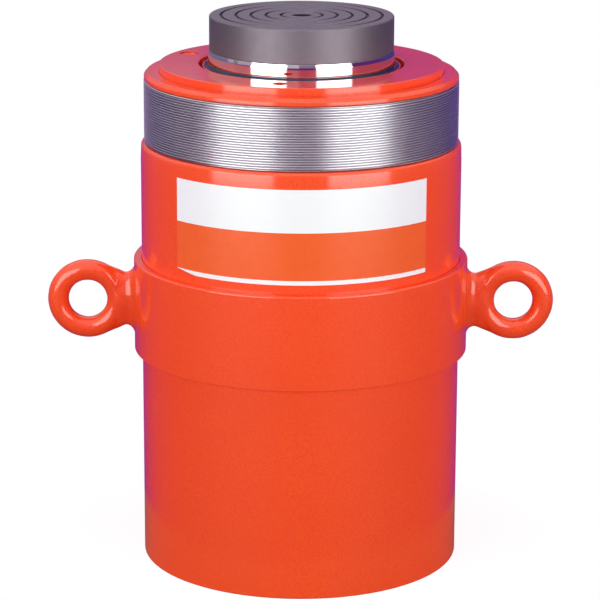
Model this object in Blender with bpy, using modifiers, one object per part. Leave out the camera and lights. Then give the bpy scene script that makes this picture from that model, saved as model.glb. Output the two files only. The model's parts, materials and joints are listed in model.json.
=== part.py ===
"""Double-acting hydraulic cylinder, 500 ton class, fully retracted.

Metres, +Z up. The origin is the centre of the base face, and the cylinder's axis is Z.
The couplers are on the back, at +Y, and the lifting eyes are at -X and +X.
"""

import math

import bmesh
import bpy
from mathutils import Matrix, Vector

# Fits between pieces
GAP = 0.0003
RUNNING_GAP = 0.0004

# How far a cutter runs past the face it opens
OVERCUT = 0.010

# Points closer than this are one
MERGE_DISTANCE = 0.000002

# Facets round each kind of turned piece
BODY_STEPS = 48
ROD_STEPS = 32
GLAND_STEPS = 24
INNER_STEPS = 24
SMALL_STEPS = 12
SEAL_SIDES = 6

# Barrel
BODY_RADIUS = 0.206375
BARREL_WALL = 0.063375
BORE_RADIUS = BODY_RADIUS - BARREL_WALL
BASE_THICKNESS = 0.086
BASE_CHAMFER = 0.002
COLLAR_STEP = 0.004975
COLLAR_RADIUS = BODY_RADIUS - COLLAR_STEP
THREAD_STEP = 0.0006
THREAD_PITCH_RADIUS = COLLAR_RADIUS - THREAD_STEP
COLLAR_WALL = 0.0184
MOUTH_RADIUS = THREAD_PITCH_RADIUS - COLLAR_WALL
THREAD_LENGTH = 0.0817
COLLAR_LEAD = 0.0087
COLLAR_CHAMFER = 0.0038
SHOULDER_FILLET = 0.006
SHOULDER_POINTS = 3

# Travel of the rod
STROKE = 0.254

# Piston and its nut
PISTON_LENGTH = 0.082
PISTON_CHAMFER = 0.003
PISTON_NUT_HEIGHT = 0.0237
PISTON_NUT_CHAMFER = 0.002
NUT_SCREW_RADIUS = 0.005
NUT_SCREW_DEPTH = 0.010
PISTON_SEAL_HEIGHT = 0.014
PISTON_SEAL_DEPTH = 0.011
PISTON_SEAL_INSET = 0.008
CUP_LIP_SHARE = 0.3
CUP_DEPTH_SHARE = 0.45
WEAR_RING_HEIGHT = 0.018
WEAR_RING_DEPTH = 0.004
SPIGOT_O_RING_SECTION = 0.006

# Rod
ANNULUS_WIDTH = 0.0238
ROD_RADIUS = BORE_RADIUS - ANNULUS_WIDTH
SPIGOT_SHOULDER = 0.0342
SPIGOT_RADIUS = ROD_RADIUS - SPIGOT_SHOULDER
PISTON_NUT_WALL = 0.027
PISTON_NUT_RADIUS = SPIGOT_RADIUS + PISTON_NUT_WALL
ROD_EXPOSED = 0.0175
ROD_CHAMFER_RADIAL = 0.0013
ROD_CHAMFER_HEIGHT = 0.0045

# Gland, the bearing head that guides and seals the rod
GLAND_SPIGOT_LENGTH = 0.0742
GLAND_FLANGE_LENGTH = 0.030
GLAND_NECK_WALL = 0.0076
GLAND_NECK_RADIUS = ROD_RADIUS + GLAND_NECK_WALL
GLAND_RECESS = 0.0025
GALLERY_DEPTH = 0.009
GALLERY_RADIUS = BORE_RADIUS - GALLERY_DEPTH
GALLERY_HEIGHT = 0.022
GLAND_CHAMFER = 0.0015
GLAND_O_RING_SECTION = 0.007
BACKUP_RING_HEIGHT = 0.003
GLAND_GROOVE_BELOW_STEP = 0.014
ROD_BEARING_THICKNESS = 0.0035
LOWER_BEARING_HEIGHT = 0.024
UPPER_BEARING_HEIGHT = 0.030
BEARING_ABOVE_FLANGE = 0.020
ROD_SEAL_HEIGHT = 0.016
ROD_SEAL_DEPTH = 0.010
WIPER_HEIGHT = 0.014
WIPER_THICKNESS = 0.0051
WIPER_RADIUS = ROD_RADIUS + WIPER_THICKNESS
WIPER_LIP_HEIGHT = 0.0022
WIPER_LIP_THICKNESS = 0.0030
WIPER_LIP_RADIUS = ROD_RADIUS + WIPER_LIP_THICKNESS

# Gland nut
NUT_RADIUS = MOUTH_RADIUS - GAP
NUT_BORE_CLEARANCE = 0.0044
NUT_BORE_RADIUS = GLAND_NECK_RADIUS + NUT_BORE_CLEARANCE
NUT_ENGAGEMENT = 0.090
NUT_PROUD = 0.010
NUT_EDGE = 0.0012
SPANNER_HOLE_RADIUS = 0.00915
SPANNER_HOLE_DEPTH = 0.016
SPANNER_INSET = 0.0291
SPANNER_CIRCLE_RADIUS = NUT_RADIUS - SPANNER_INSET
SPANNER_ANGLES = (-100.0, 80.0)
LOCK_SCREW_ANGLE = 156.0
LOCK_SCREW_INSET = 0.0221
LOCK_SCREW_CIRCLE_RADIUS = NUT_RADIUS - LOCK_SCREW_INSET
LOCK_SCREW_RADIUS = 0.008
LOCK_SCREW_HEAD_RADIUS = 0.0122
LOCK_SCREW_HEAD_HEIGHT = 0.016
LOCK_SCREW_SUNK = 0.0015
LOCK_SCREW_IN_GLAND = 0.018
LOCK_SCREW_KEY_RADIUS = 0.0078
LOCK_SCREW_KEY_DEPTH = 0.008

# Saddle
SADDLE_STEP = 0.0013
SADDLE_RADIUS = ROD_RADIUS - SADDLE_STEP
SADDLE_THICKNESS = 0.0436
SADDLE_CHAMFER = 0.0022
SADDLE_STEM_RADIUS = 0.050
SADDLE_STEM_LENGTH = 0.040
STEM_END_CLEARANCE = 0.002
SADDLE_HOLE_RADIUS = 0.0118
SADDLE_HOLE_DEPTH = 0.030
SADDLE_HOLE_CHAMFER = 0.0015
SADDLE_GROOVES = 5
SADDLE_GROOVE_PITCH = 0.01905
SADDLE_FIRST_GROOVE_RADIUS = 0.0265
SADDLE_GROOVE_WIDTH = 0.0034
SADDLE_GROOVE_DEPTH = 0.0020
RETAINING_RING_SECTION = 0.004
RETAINING_RING_ABOVE_END = 0.012

# Lifting band
BAND_THICKNESS = 0.010
BAND_BOTTOM = 0.2775
BAND_HEIGHT = 0.121
BAND_TOP_EDGE = 0.0024
BAND_BOTTOM_EDGE = 0.0006
ROUNDING_SHARE = 0.3

# Lifting eyes
EYE_RING_RADIUS = 0.0386
EYE_STOCK_RADIUS = 0.0136
EYE_REACH = 0.0615
EYE_ABOVE_BAND_MIDDLE = 0.0010
EYE_NECK_HEIGHT = 0.0356
EYE_NECK_THICKNESS = 0.0150
EYE_FLARE_HEIGHT = 0.0474
EYE_FLARE_THICKNESS = 0.0250
EYE_NECK_LENGTH = 0.0120
EYE_RING_STEPS = 26
EYE_STOCK_STEPS = 10
EYE_NECK_STATIONS = 11
EYE_NECK_SIDES = 16
EYE_SHANK_RADIUS = 0.0143
EYE_SHANK_IN_BARREL = 0.038
EYE_SEAT_OVERLAP = 0.004
EYE_NECK_END_SHARE = 0.9
EYE_SKIN = 0.0012
WAIST_POINTS = 7
WAIST_HALF_ANGLE = 75.0

# Half couplers
PORT_THREAD_RADIUS = 0.0085
PORT_THREAD_DEPTH = 0.020
PORT_DRILL_RADIUS = 0.005
PORT_SEAT_RADIUS = 0.024
PORT_SEAT_DEPTH = 0.0016
ADVANCE_PORT_ABOVE_FLOOR = 0.012
COUPLER_HEX_RADIUS = 0.0202
COUPLER_HEX_LENGTH = 0.018
COUPLER_NOSE_RADIUS = 0.0162
COUPLER_NOSE_LENGTH = 0.030
COUPLER_NOSE_CHAMFER = 0.0012
COUPLER_NIPPLE_LENGTH = 0.018
COUPLER_BORE_RADIUS = 0.0063
COUPLER_SEAT_HOLE_RADIUS = 0.0045
COUPLER_SEAT_THICKNESS = 0.003
COUPLER_SOCKET_RADIUS = 0.0100
COUPLER_SOCKET_DEPTH = 0.016
COUPLER_SEAL_SECTION = 0.0022
COUPLER_GROOVE_DEPTH = 0.00154
COUPLER_SEAL_FROM_MOUTH = 0.005
POPPET_LENGTH = 0.010
POPPET_NOSE_RADIUS = 0.0040
POPPET_NOSE_PROUD = 0.003
COUPLER_SPRING_TURNS = 4
COUPLER_SPRING_WIRE = 0.0009
GUIDE_THICKNESS = 0.003
GUIDE_HOLE_RADIUS = 0.0025

# Relief valve of the retract side
RELIEF_AZIMUTH = 115.0
RELIEF_THREAD_RADIUS = 0.0088
RELIEF_THREAD_LENGTH = 0.030
RELIEF_DRILL_RADIUS = 0.003
RELIEF_SEAT_RADIUS = 0.017
RELIEF_HEX_RADIUS = 0.0135
RELIEF_HEX_LENGTH = 0.010
RELIEF_BORE_RADIUS = 0.0056
RELIEF_ORIFICE_RADIUS = 0.0020
RELIEF_SEAT_LENGTH = 0.008
RELIEF_BALL_RADIUS = 0.0038
RELIEF_SPRING_WIRE = 0.0008
RELIEF_SPRING_TURNS = 4
RELIEF_SPRING_SIDE_GAP = 0.0012
RELIEF_ADJUSTER_LENGTH = 0.009
RELIEF_ADJUSTER_SUNK = 0.002
RELIEF_KEY_RADIUS = 0.0030
RELIEF_KEY_DEPTH = 0.005
RELIEF_VENT_RADIUS = 0.0012

# Points on each spring's turn
SPRING_TURN_POINTS = 8

# Places worked out from the sizes above
FLOOR = BASE_THICKNESS
ROD_FOOT = FLOOR + GAP
PISTON_NUT_TOP = ROD_FOOT + PISTON_NUT_HEIGHT
PISTON_BOTTOM = PISTON_NUT_TOP + GAP
PISTON_TOP = PISTON_BOTTOM + PISTON_LENGTH
ROD_SHOULDER = PISTON_TOP + GAP
GLAND_BOTTOM = PISTON_TOP + STROKE + GAP
BARREL_STEP = GLAND_BOTTOM + GLAND_SPIGOT_LENGTH
FLANGE_BOTTOM = BARREL_STEP + GAP
FLANGE_TOP = FLANGE_BOTTOM + GLAND_FLANGE_LENGTH
NUT_BOTTOM = FLANGE_TOP + GAP
BARREL_TOP = NUT_BOTTOM + NUT_ENGAGEMENT
NUT_TOP = BARREL_TOP + NUT_PROUD
GLAND_TOP = NUT_TOP - GLAND_RECESS
ROD_TOP = NUT_TOP + ROD_EXPOSED
SADDLE_BOTTOM = ROD_TOP + GAP
SADDLE_TOP = SADDLE_BOTTOM + SADDLE_THICKNESS
THREAD_TOP = BARREL_TOP - COLLAR_LEAD
THREAD_BOTTOM = THREAD_TOP - THREAD_LENGTH
BAND_INNER_RADIUS = BODY_RADIUS + GAP
BAND_RADIUS = BAND_INNER_RADIUS + BAND_THICKNESS
BAND_TOP = BAND_BOTTOM + BAND_HEIGHT
EYE_HEIGHT = (BAND_BOTTOM + BAND_TOP) / 2 + EYE_ABOVE_BAND_MIDDLE
ADVANCE_PORT_HEIGHT = FLOOR + ADVANCE_PORT_ABOVE_FLOOR
RETRACT_PORT_HEIGHT = GLAND_BOTTOM + GALLERY_HEIGHT / 2
PORT_FACE = BODY_RADIUS - PORT_SEAT_DEPTH
STEM_BORE_RADIUS = SADDLE_STEM_RADIUS + 2 * RUNNING_GAP
STEM_BORE_DEPTH = SADDLE_STEM_LENGTH + STEM_END_CLEARANCE

# Colours: linear red, green, blue, then roughness and metallic
FINISHES = {
    "orange_paint": ((0.85, 0.085, 0.022), 0.22, 0.0),
    "machined_steel": ((0.55, 0.55, 0.57), 0.32, 1.0),
    "chrome": ((0.75, 0.75, 0.78), 0.05, 1.0),
    "saddle_steel": ((0.16, 0.14, 0.17), 0.55, 0.6),
    "seal_rubber": ((0.02, 0.02, 0.022), 0.65, 0.0),
    "wiper_polyurethane": ((0.10, 0.15, 0.20), 0.40, 0.0),
    "bearing_bronze": ((0.55, 0.33, 0.13), 0.40, 1.0),
    "backup_plastic": ((0.80, 0.78, 0.72), 0.50, 0.0),
    "coupler_steel": ((0.62, 0.60, 0.52), 0.30, 1.0),
    "spring_steel": ((0.40, 0.40, 0.42), 0.35, 1.0),
}

for old_object in list(bpy.data.objects):
    bpy.data.objects.remove(old_object)

parts = bpy.data.collections.new("hydraulic_cylinder")
cutters = bpy.data.collections.new("cutters")
bpy.context.scene.collection.children.link(parts)
bpy.context.scene.collection.children.link(cutters)


def make_material(name):
    """A plain Principled material with one of the finishes."""
    colour, roughness, metallic = FINISHES[name]
    material = bpy.data.materials.new(name)
    material.use_nodes = True
    shader = material.node_tree.nodes["Principled BSDF"]
    shader.inputs["Base Color"].default_value = (*colour, 1.0)
    shader.inputs["Roughness"].default_value = roughness
    shader.inputs["Metallic"].default_value = metallic
    return material


materials = {name: make_material(name) for name in FINISHES}


def around(radius, steps, clearance=RUNNING_GAP):
    """Corner radius of a faceted hole that clears a round shaft by the clearance."""
    return (radius + clearance) / math.cos(math.pi / steps)


def add_object(name, mesh, finish=None):
    """Puts a mesh in the parts with its material, or in the cutters if it has no finish."""
    item = bpy.data.objects.new(name, mesh)
    if finish is None:
        cutters.objects.link(item)
        item.hide_render = True
        item.display_type = "WIRE"
    else:
        parts.objects.link(item)
        mesh.materials.append(materials[finish])
    return item


def smooth_by_angle(mesh, degrees=32.0):
    """Shades a mesh smooth, with its corners left sharp."""
    mesh.shade_smooth()
    mesh.set_sharp_from_angle(angle=math.radians(degrees))


def turned(name, profile, steps, finish=None, closed=True):
    """Turns a profile of (radius, height) points about local Z with a Screw modifier."""
    mesh = bpy.data.meshes.new(name)
    points = [(radius, 0.0, height) for radius, height in profile]
    edges = [(i, i + 1) for i in range(len(points) - 1)]
    if closed:
        edges.append((len(points) - 1, 0))
    mesh.from_pydata(points, edges, [])
    item = add_object(name, mesh, finish)
    screw = item.modifiers.new("turn", "SCREW")
    screw.axis = "Z"
    screw.angle = math.tau
    screw.steps = steps
    screw.render_steps = steps
    screw.use_merge_vertices = True
    screw.merge_threshold = MERGE_DISTANCE
    screw.use_smooth_shade = False
    return item


def bake(item, smooth=True):
    """Replaces an object's mesh by its evaluated one, so that its modifiers are applied."""
    bpy.context.view_layer.update()
    evaluated = item.evaluated_get(bpy.context.evaluated_depsgraph_get())
    mesh = bpy.data.meshes.new_from_object(evaluated)
    item.modifiers.clear()
    item.data = mesh
    if smooth:
        smooth_by_angle(mesh)
    return item


def rectangle(inner, outer, bottom, top):
    """Ring section, wound so that its outer side runs down."""
    return [(inner, bottom), (inner, top), (outer, top), (outer, bottom)]


def ring(name, inner, outer, bottom, top, steps, finish):
    """A turned ring of rectangular section."""
    return bake(turned(name, rectangle(inner, outer, bottom, top), steps, finish))


def round_ring(name, inner, outer, middle, steps, finish):
    """A ring of round section, such as an O-ring."""
    centre = (inner + outer) / 2
    radius = (outer - inner) / 2
    profile = []
    for i in range(SEAL_SIDES):
        angle = -math.tau * i / SEAL_SIDES
        profile.append((centre + radius * math.cos(angle), middle + radius * math.sin(angle)))
    return bake(turned(name, profile, steps, finish))


def groove(radius, depth, bottom, top):
    """Four profile points of a groove in an outer side, from the top down."""
    floor = radius - depth
    return [(radius, top), (floor, top), (floor, bottom), (radius, bottom)]


def inner_groove(radius, depth, bottom, top):
    """Four profile points of a groove in a bore, from the bottom up."""
    floor = radius + depth
    return [(radius, bottom), (floor, bottom), (floor, top), (radius, top)]


def prism(name, radius, bottom, top, sides, finish=None):
    """A regular prism or cylinder between two heights on local Z."""
    mesh = bpy.data.meshes.new(name)
    shape = bmesh.new()
    bmesh.ops.create_cone(
        shape,
        cap_ends=True,
        segments=sides,
        radius1=radius,
        radius2=radius,
        depth=top - bottom,
        matrix=Matrix.Translation((0.0, 0.0, (top + bottom) / 2)),
    )
    shape.to_mesh(mesh)
    shape.free()
    return add_object(name, mesh, finish)


def boolean(item, tool, operation="DIFFERENCE"):
    """Adds an exact Boolean modifier to an object."""
    modifier = item.modifiers.new(operation.lower(), "BOOLEAN")
    modifier.operation = operation
    modifier.solver = "EXACT"
    modifier.object = tool


def radial(azimuth, height, distance=0.0):
    """Places local Z along a horizontal radius of the cylinder, pointing outwards."""
    turn = Matrix.Rotation(math.radians(azimuth), 4, "Z") @ Matrix.Rotation(math.radians(90.0), 4, "Y")
    direction = Vector((math.cos(math.radians(azimuth)), math.sin(math.radians(azimuth)), 0.0))
    return Matrix.Translation(direction * distance + Vector((0.0, 0.0, height))) @ turn


def drill(item, name, matrix, sections):
    """Cuts a stepped round hole, given as (radius, bottom, top) on the matrix's own Z."""
    for number, (radius, bottom, top) in enumerate(sections):
        tool = prism(f"{name}_{number}", radius, bottom, top, SMALL_STEPS)
        tool.matrix_world = matrix
        boolean(item, tool)


def polar(radius, degrees, height=0.0):
    """A point given by its radius and azimuth."""
    angle = math.radians(degrees)
    return Vector((radius * math.cos(angle), radius * math.sin(angle), height))


def spring(name, coil_radius, wire_radius, bottom, top, turns, finish):
    """A coil spring along local Z."""
    curve = bpy.data.curves.new(name, "CURVE")
    curve.dimensions = "3D"
    curve.bevel_depth = wire_radius
    curve.bevel_resolution = 0
    curve.use_fill_caps = True
    line = curve.splines.new("POLY")
    count = turns * SPRING_TURN_POINTS
    line.points.add(count)
    for i in range(count + 1):
        angle = math.tau * i / SPRING_TURN_POINTS
        height = bottom + wire_radius + (top - bottom - 2 * wire_radius) * i / count
        point = (coil_radius * math.cos(angle), coil_radius * math.sin(angle), height, 1.0)
        line.points[i].co = point
    wire = bpy.data.objects.new(f"{name}_wire", curve)
    cutters.objects.link(wire)
    bpy.context.view_layer.update()
    evaluated = wire.evaluated_get(bpy.context.evaluated_depsgraph_get())
    mesh = bpy.data.meshes.new_from_object(evaluated)
    bpy.data.objects.remove(wire)
    shape = bmesh.new()
    shape.from_mesh(mesh)
    bmesh.ops.remove_doubles(shape, verts=shape.verts, dist=MERGE_DISTANCE)
    bmesh.ops.recalc_face_normals(shape, faces=shape.faces)
    shape.to_mesh(mesh)
    shape.free()
    mesh.materials.clear()
    item = add_object(name, mesh, finish)
    smooth_by_angle(mesh, 60.0)
    return item


def barrel_profile():
    """Half section of the barrel: floor, bore, mouth, collar, thread at its pitch radius, body, base."""
    profile = [
        (0.0, FLOOR),
        (BORE_RADIUS, FLOOR),
        (BORE_RADIUS, BARREL_STEP),
        (MOUTH_RADIUS, BARREL_STEP),
        (MOUTH_RADIUS, BARREL_TOP),
        (COLLAR_RADIUS - COLLAR_CHAMFER, BARREL_TOP),
        (COLLAR_RADIUS, BARREL_TOP - COLLAR_CHAMFER),
        (COLLAR_RADIUS, THREAD_TOP),
        (THREAD_PITCH_RADIUS, THREAD_TOP),
        (THREAD_PITCH_RADIUS, THREAD_BOTTOM),
    ]
    for i in range(SHOULDER_POINTS + 1):
        angle = math.radians(90.0 * (1 - i / SHOULDER_POINTS))
        profile.append(
            (
                BODY_RADIUS - SHOULDER_FILLET * (1 - math.cos(angle)),
                THREAD_BOTTOM - SHOULDER_FILLET * (1 - math.sin(angle)),
            )
        )
    profile.append((BODY_RADIUS, BASE_CHAMFER))
    profile.append((BODY_RADIUS - BASE_CHAMFER, 0.0))
    profile.append((0.0, 0.0))
    return profile


def port_hole(item, name, azimuth, height, seat, thread, thread_depth, drilled):
    """Spot face, threaded hole and drilled way from the barrel's side to its bore."""
    place = radial(azimuth, height, PORT_FACE)
    wall = PORT_FACE - BORE_RADIUS
    sections = (
        (seat, 0.0, 2 * PORT_SEAT_DEPTH + GAP),
        (thread + GAP, -thread_depth, PORT_SEAT_DEPTH),
        (drilled, -wall - PORT_SEAT_DEPTH, -thread_depth / 2),
    )
    drill(item, name, place, sections)


def eye_matrix(side):
    """Local +X points out of the band at the eye's height; side is 1 or -1."""
    turn = Matrix.Rotation(0.0 if side > 0 else math.pi, 4, "Z")
    return Matrix.Translation((0.0, 0.0, EYE_HEIGHT)) @ turn


def drill_eye_holes(item, name, depth_from, depth_to):
    """Holes of both eyes' shanks between two distances from the cylinder's axis."""
    for side, azimuth in (("right", 0.0), ("left", 180.0)):
        section = (EYE_SHANK_RADIUS + GAP, depth_from, depth_to)
        drill(item, f"{name}_{side}", radial(azimuth, EYE_HEIGHT), (section,))


def make_barrel():
    """The barrel with its ports, its relief valve's hole and the eyes' tapped holes."""
    item = turned("barrel", barrel_profile(), BODY_STEPS, "orange_paint", closed=False)
    eye_hole_end = BAND_RADIUS - EYE_SHANK_IN_BARREL - BAND_THICKNESS - GAP
    drill_eye_holes(item, "barrel_eye_hole", eye_hole_end, BAND_RADIUS)
    for name, height in (("advance", ADVANCE_PORT_HEIGHT), ("retract", RETRACT_PORT_HEIGHT)):
        port_hole(
            item,
            f"{name}_port",
            90.0,
            height,
            PORT_SEAT_RADIUS,
            PORT_THREAD_RADIUS,
            PORT_THREAD_DEPTH,
            PORT_DRILL_RADIUS,
        )
    port_hole(
        item,
        "relief_port",
        RELIEF_AZIMUTH,
        RETRACT_PORT_HEIGHT,
        RELIEF_SEAT_RADIUS,
        RELIEF_THREAD_RADIUS,
        RELIEF_THREAD_LENGTH + GAP,
        RELIEF_DRILL_RADIUS,
    )
    bake(item)


def make_band():
    """The lifting band, with clearance holes for the eyes' shanks."""
    profile = [
        (BAND_INNER_RADIUS, BAND_BOTTOM),
        (BAND_INNER_RADIUS, BAND_TOP),
        (BAND_RADIUS - BAND_TOP_EDGE, BAND_TOP),
        (BAND_RADIUS - BAND_TOP_EDGE * ROUNDING_SHARE, BAND_TOP - BAND_TOP_EDGE * ROUNDING_SHARE),
        (BAND_RADIUS, BAND_TOP - BAND_TOP_EDGE),
        (BAND_RADIUS, BAND_BOTTOM + BAND_BOTTOM_EDGE),
        (BAND_RADIUS - BAND_BOTTOM_EDGE, BAND_BOTTOM),
    ]
    item = turned("lifting_band", profile, BODY_STEPS, "orange_paint")
    drill_eye_holes(item, "band_eye_hole", BODY_RADIUS - BAND_THICKNESS, BAND_RADIUS + BAND_THICKNESS)
    bake(item)


def neck_tangent():
    """Distance from the band and half height at which the neck's straight side meets the ring."""
    outer = (EYE_RING_RADIUS + EYE_STOCK_RADIUS) * math.cos(math.pi / EYE_RING_STEPS)
    run = EYE_REACH - EYE_NECK_LENGTH
    length = math.hypot(run, EYE_NECK_HEIGHT)
    lean = math.atan2(EYE_NECK_HEIGHT, run) + math.acos(min(1.0, outer / length))
    return EYE_REACH - outer * math.cos(lean), outer * math.sin(lean)


def neck_section(distance):
    """Half height and half thickness of an eye's neck at a distance from the band."""
    touch, touch_height = neck_tangent()
    inner_thickness = EYE_STOCK_RADIUS * EYE_NECK_END_SHARE
    if distance <= EYE_NECK_LENGTH:
        flare = (1.0 - distance / EYE_NECK_LENGTH) ** 2
        height = EYE_NECK_HEIGHT + (EYE_FLARE_HEIGHT - EYE_NECK_HEIGHT) * flare
        return height, EYE_NECK_THICKNESS + (EYE_FLARE_THICKNESS - EYE_NECK_THICKNESS) * flare
    share = min(1.0, (distance - EYE_NECK_LENGTH) / (touch - EYE_NECK_LENGTH))
    thickness = EYE_NECK_THICKNESS + (inner_thickness - EYE_NECK_THICKNESS) * share
    if distance <= touch:
        return EYE_NECK_HEIGHT + (touch_height - EYE_NECK_HEIGHT) * share, thickness
    radius = math.hypot(EYE_REACH - touch, touch_height) - GAP
    return math.sqrt(radius**2 - (EYE_REACH - distance) ** 2), thickness


def neck_mesh(name):
    """Loft of elliptic sections from inside the band's face to inside the eye's ring."""
    start = -EYE_SEAT_OVERLAP
    end = (neck_tangent()[0] + EYE_REACH) / 2
    shape = bmesh.new()
    rings = []
    for i in range(EYE_NECK_STATIONS):
        distance = start + (end - start) * i / (EYE_NECK_STATIONS - 1)
        height, thickness = neck_section(max(0.0, distance))
        loop = []
        for k in range(EYE_NECK_SIDES):
            angle = math.tau * k / EYE_NECK_SIDES
            y = thickness * math.cos(angle)
            z = height * math.sin(angle)
            loop.append(shape.verts.new((BAND_RADIUS + distance, y, z)))
        rings.append(loop)
    for lower, upper in zip(rings, rings[1:]):
        for k in range(EYE_NECK_SIDES):
            following = (k + 1) % EYE_NECK_SIDES
            shape.faces.new((lower[k], lower[following], upper[following], upper[k]))
    shape.faces.new(rings[0])
    shape.faces.new(list(reversed(rings[-1])))
    bmesh.ops.recalc_face_normals(shape, faces=shape.faces)
    mesh = bpy.data.meshes.new(name)
    shape.to_mesh(mesh)
    shape.free()
    return mesh


def torus_profile():
    """Section of the eye's ring, wound so that its outer side runs down."""
    profile = []
    for i in range(EYE_STOCK_STEPS):
        angle = -math.tau * (i + 0.5) / EYE_STOCK_STEPS
        profile.append(
            (
                EYE_RING_RADIUS + EYE_STOCK_RADIUS * math.cos(angle),
                EYE_STOCK_RADIUS * math.sin(angle),
            )
        )
    return profile


def hole_profile():
    """Waisted section that takes the neck out of the eye's hole, a little inside the ring's skin."""
    inside = EYE_STOCK_RADIUS - EYE_SKIN
    profile = [(0.0, 2 * EYE_STOCK_RADIUS)]
    for i in range(WAIST_POINTS):
        angle = math.radians(WAIST_HALF_ANGLE * (1 - 2 * i / (WAIST_POINTS - 1)))
        profile.append((EYE_RING_RADIUS - inside * math.cos(angle), inside * math.sin(angle)))
    profile.insert(1, (profile[1][0], 2 * EYE_STOCK_RADIUS))
    profile.append((profile[-1][0], -2 * EYE_STOCK_RADIUS))
    profile.append((0.0, -2 * EYE_STOCK_RADIUS))
    return profile


def make_eye(name, side):
    """One forged eye: ring, flared neck on the band, and the shank screwed into the barrel."""
    place = eye_matrix(side)
    centre = Matrix.Translation((BAND_RADIUS + EYE_REACH, 0.0, 0.0))
    facing = centre @ Matrix.Rotation(math.radians(90.0), 4, "X")
    eye = add_object(name, neck_mesh(name), "orange_paint")
    eye.matrix_world = place
    waist = turned(f"{name}_hole", hole_profile(), EYE_RING_STEPS, closed=False)
    waist.matrix_world = place @ facing
    boolean(eye, waist)
    hoop = turned(f"{name}_hoop", torus_profile(), EYE_RING_STEPS)
    hoop.matrix_world = place @ facing
    boolean(eye, hoop, "UNION")
    seat = prism(f"{name}_seat", BAND_RADIUS + GAP, -BAND_HEIGHT, BAND_HEIGHT, BODY_STEPS)
    seat.matrix_world = place
    boolean(eye, seat)
    shank_end = BAND_INNER_RADIUS - EYE_SHANK_IN_BARREL
    shank_top = BAND_RADIUS + EYE_NECK_LENGTH
    shank = prism(f"{name}_shank", EYE_SHANK_RADIUS, shank_end, shank_top, SMALL_STEPS)
    shank.matrix_world = place @ Matrix.Rotation(math.radians(90.0), 4, "Y")
    boolean(eye, shank, "UNION")
    bake(eye)


def make_piston():
    """The piston with its grooves, held between the rod's shoulder and the piston nut."""
    outer = BORE_RADIUS - 2 * RUNNING_GAP
    inner = around(SPIGOT_RADIUS, INNER_STEPS, GAP)
    middle = (PISTON_BOTTOM + PISTON_TOP) / 2
    upper_seal = PISTON_TOP - PISTON_SEAL_INSET
    lower_seal = PISTON_BOTTOM + PISTON_SEAL_INSET
    half_o_ring = SPIGOT_O_RING_SECTION / 2
    profile = [(outer - PISTON_CHAMFER, PISTON_TOP), (outer, PISTON_TOP - PISTON_CHAMFER)]
    profile += groove(outer, PISTON_SEAL_DEPTH, upper_seal - PISTON_SEAL_HEIGHT, upper_seal)
    profile += groove(
        outer, WEAR_RING_DEPTH, middle - WEAR_RING_HEIGHT / 2, middle + WEAR_RING_HEIGHT / 2
    )
    profile += groove(outer, PISTON_SEAL_DEPTH, lower_seal, lower_seal + PISTON_SEAL_HEIGHT)
    profile += [
        (outer, PISTON_BOTTOM + PISTON_CHAMFER),
        (outer - PISTON_CHAMFER, PISTON_BOTTOM),
        (inner, PISTON_BOTTOM),
    ]
    profile += inner_groove(inner, SPIGOT_O_RING_SECTION, middle - half_o_ring, middle + half_o_ring)
    profile.append((inner, PISTON_TOP))
    bake(turned("piston", profile, INNER_STEPS, "machined_steel"))

    seal_inner = outer - PISTON_SEAL_DEPTH + GAP
    seal_outer = BORE_RADIUS - RUNNING_GAP
    for name, top in (
        ("retract_piston_seal", upper_seal),
        ("advance_piston_seal", lower_seal + PISTON_SEAL_HEIGHT),
    ):
        bottom = top - PISTON_SEAL_HEIGHT + GAP
        lip = name.startswith("retract")
        cup_ring(name, seal_inner, seal_outer, bottom, top - GAP, lip, INNER_STEPS, "seal_rubber")
    ring(
        "piston_wear_ring",
        outer - WEAR_RING_DEPTH + GAP,
        seal_outer,
        middle - WEAR_RING_HEIGHT / 2 + GAP,
        middle + WEAR_RING_HEIGHT / 2 - GAP,
        INNER_STEPS,
        "bearing_bronze",
    )
    round_ring(
        "piston_o_ring",
        inner + GAP / 2,
        inner + SPIGOT_O_RING_SECTION - GAP,
        middle,
        INNER_STEPS,
        "seal_rubber",
    )


def cup_ring(name, inner, outer, bottom, top, opens_up, steps, finish):
    """A U-cup seal: a ring with a groove in the face that the pressure acts on."""
    width = outer - inner
    lip = width * CUP_LIP_SHARE
    depth = (top - bottom) * CUP_DEPTH_SHARE
    if opens_up:
        middle = (inner + outer) / 2
        mouth = [(inner, top), (inner + lip, top), (middle, top - depth), (outer - lip, top)]
        profile = [(inner, bottom), *mouth, (outer, top), (outer, bottom)]
    else:
        mouth = [(outer, bottom), (outer - lip, bottom), ((inner + outer) / 2, bottom + depth)]
        profile = [(inner, top), (outer, top), *mouth, (inner + lip, bottom), (inner, bottom)]
    return bake(turned(name, profile, steps, finish))


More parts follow.
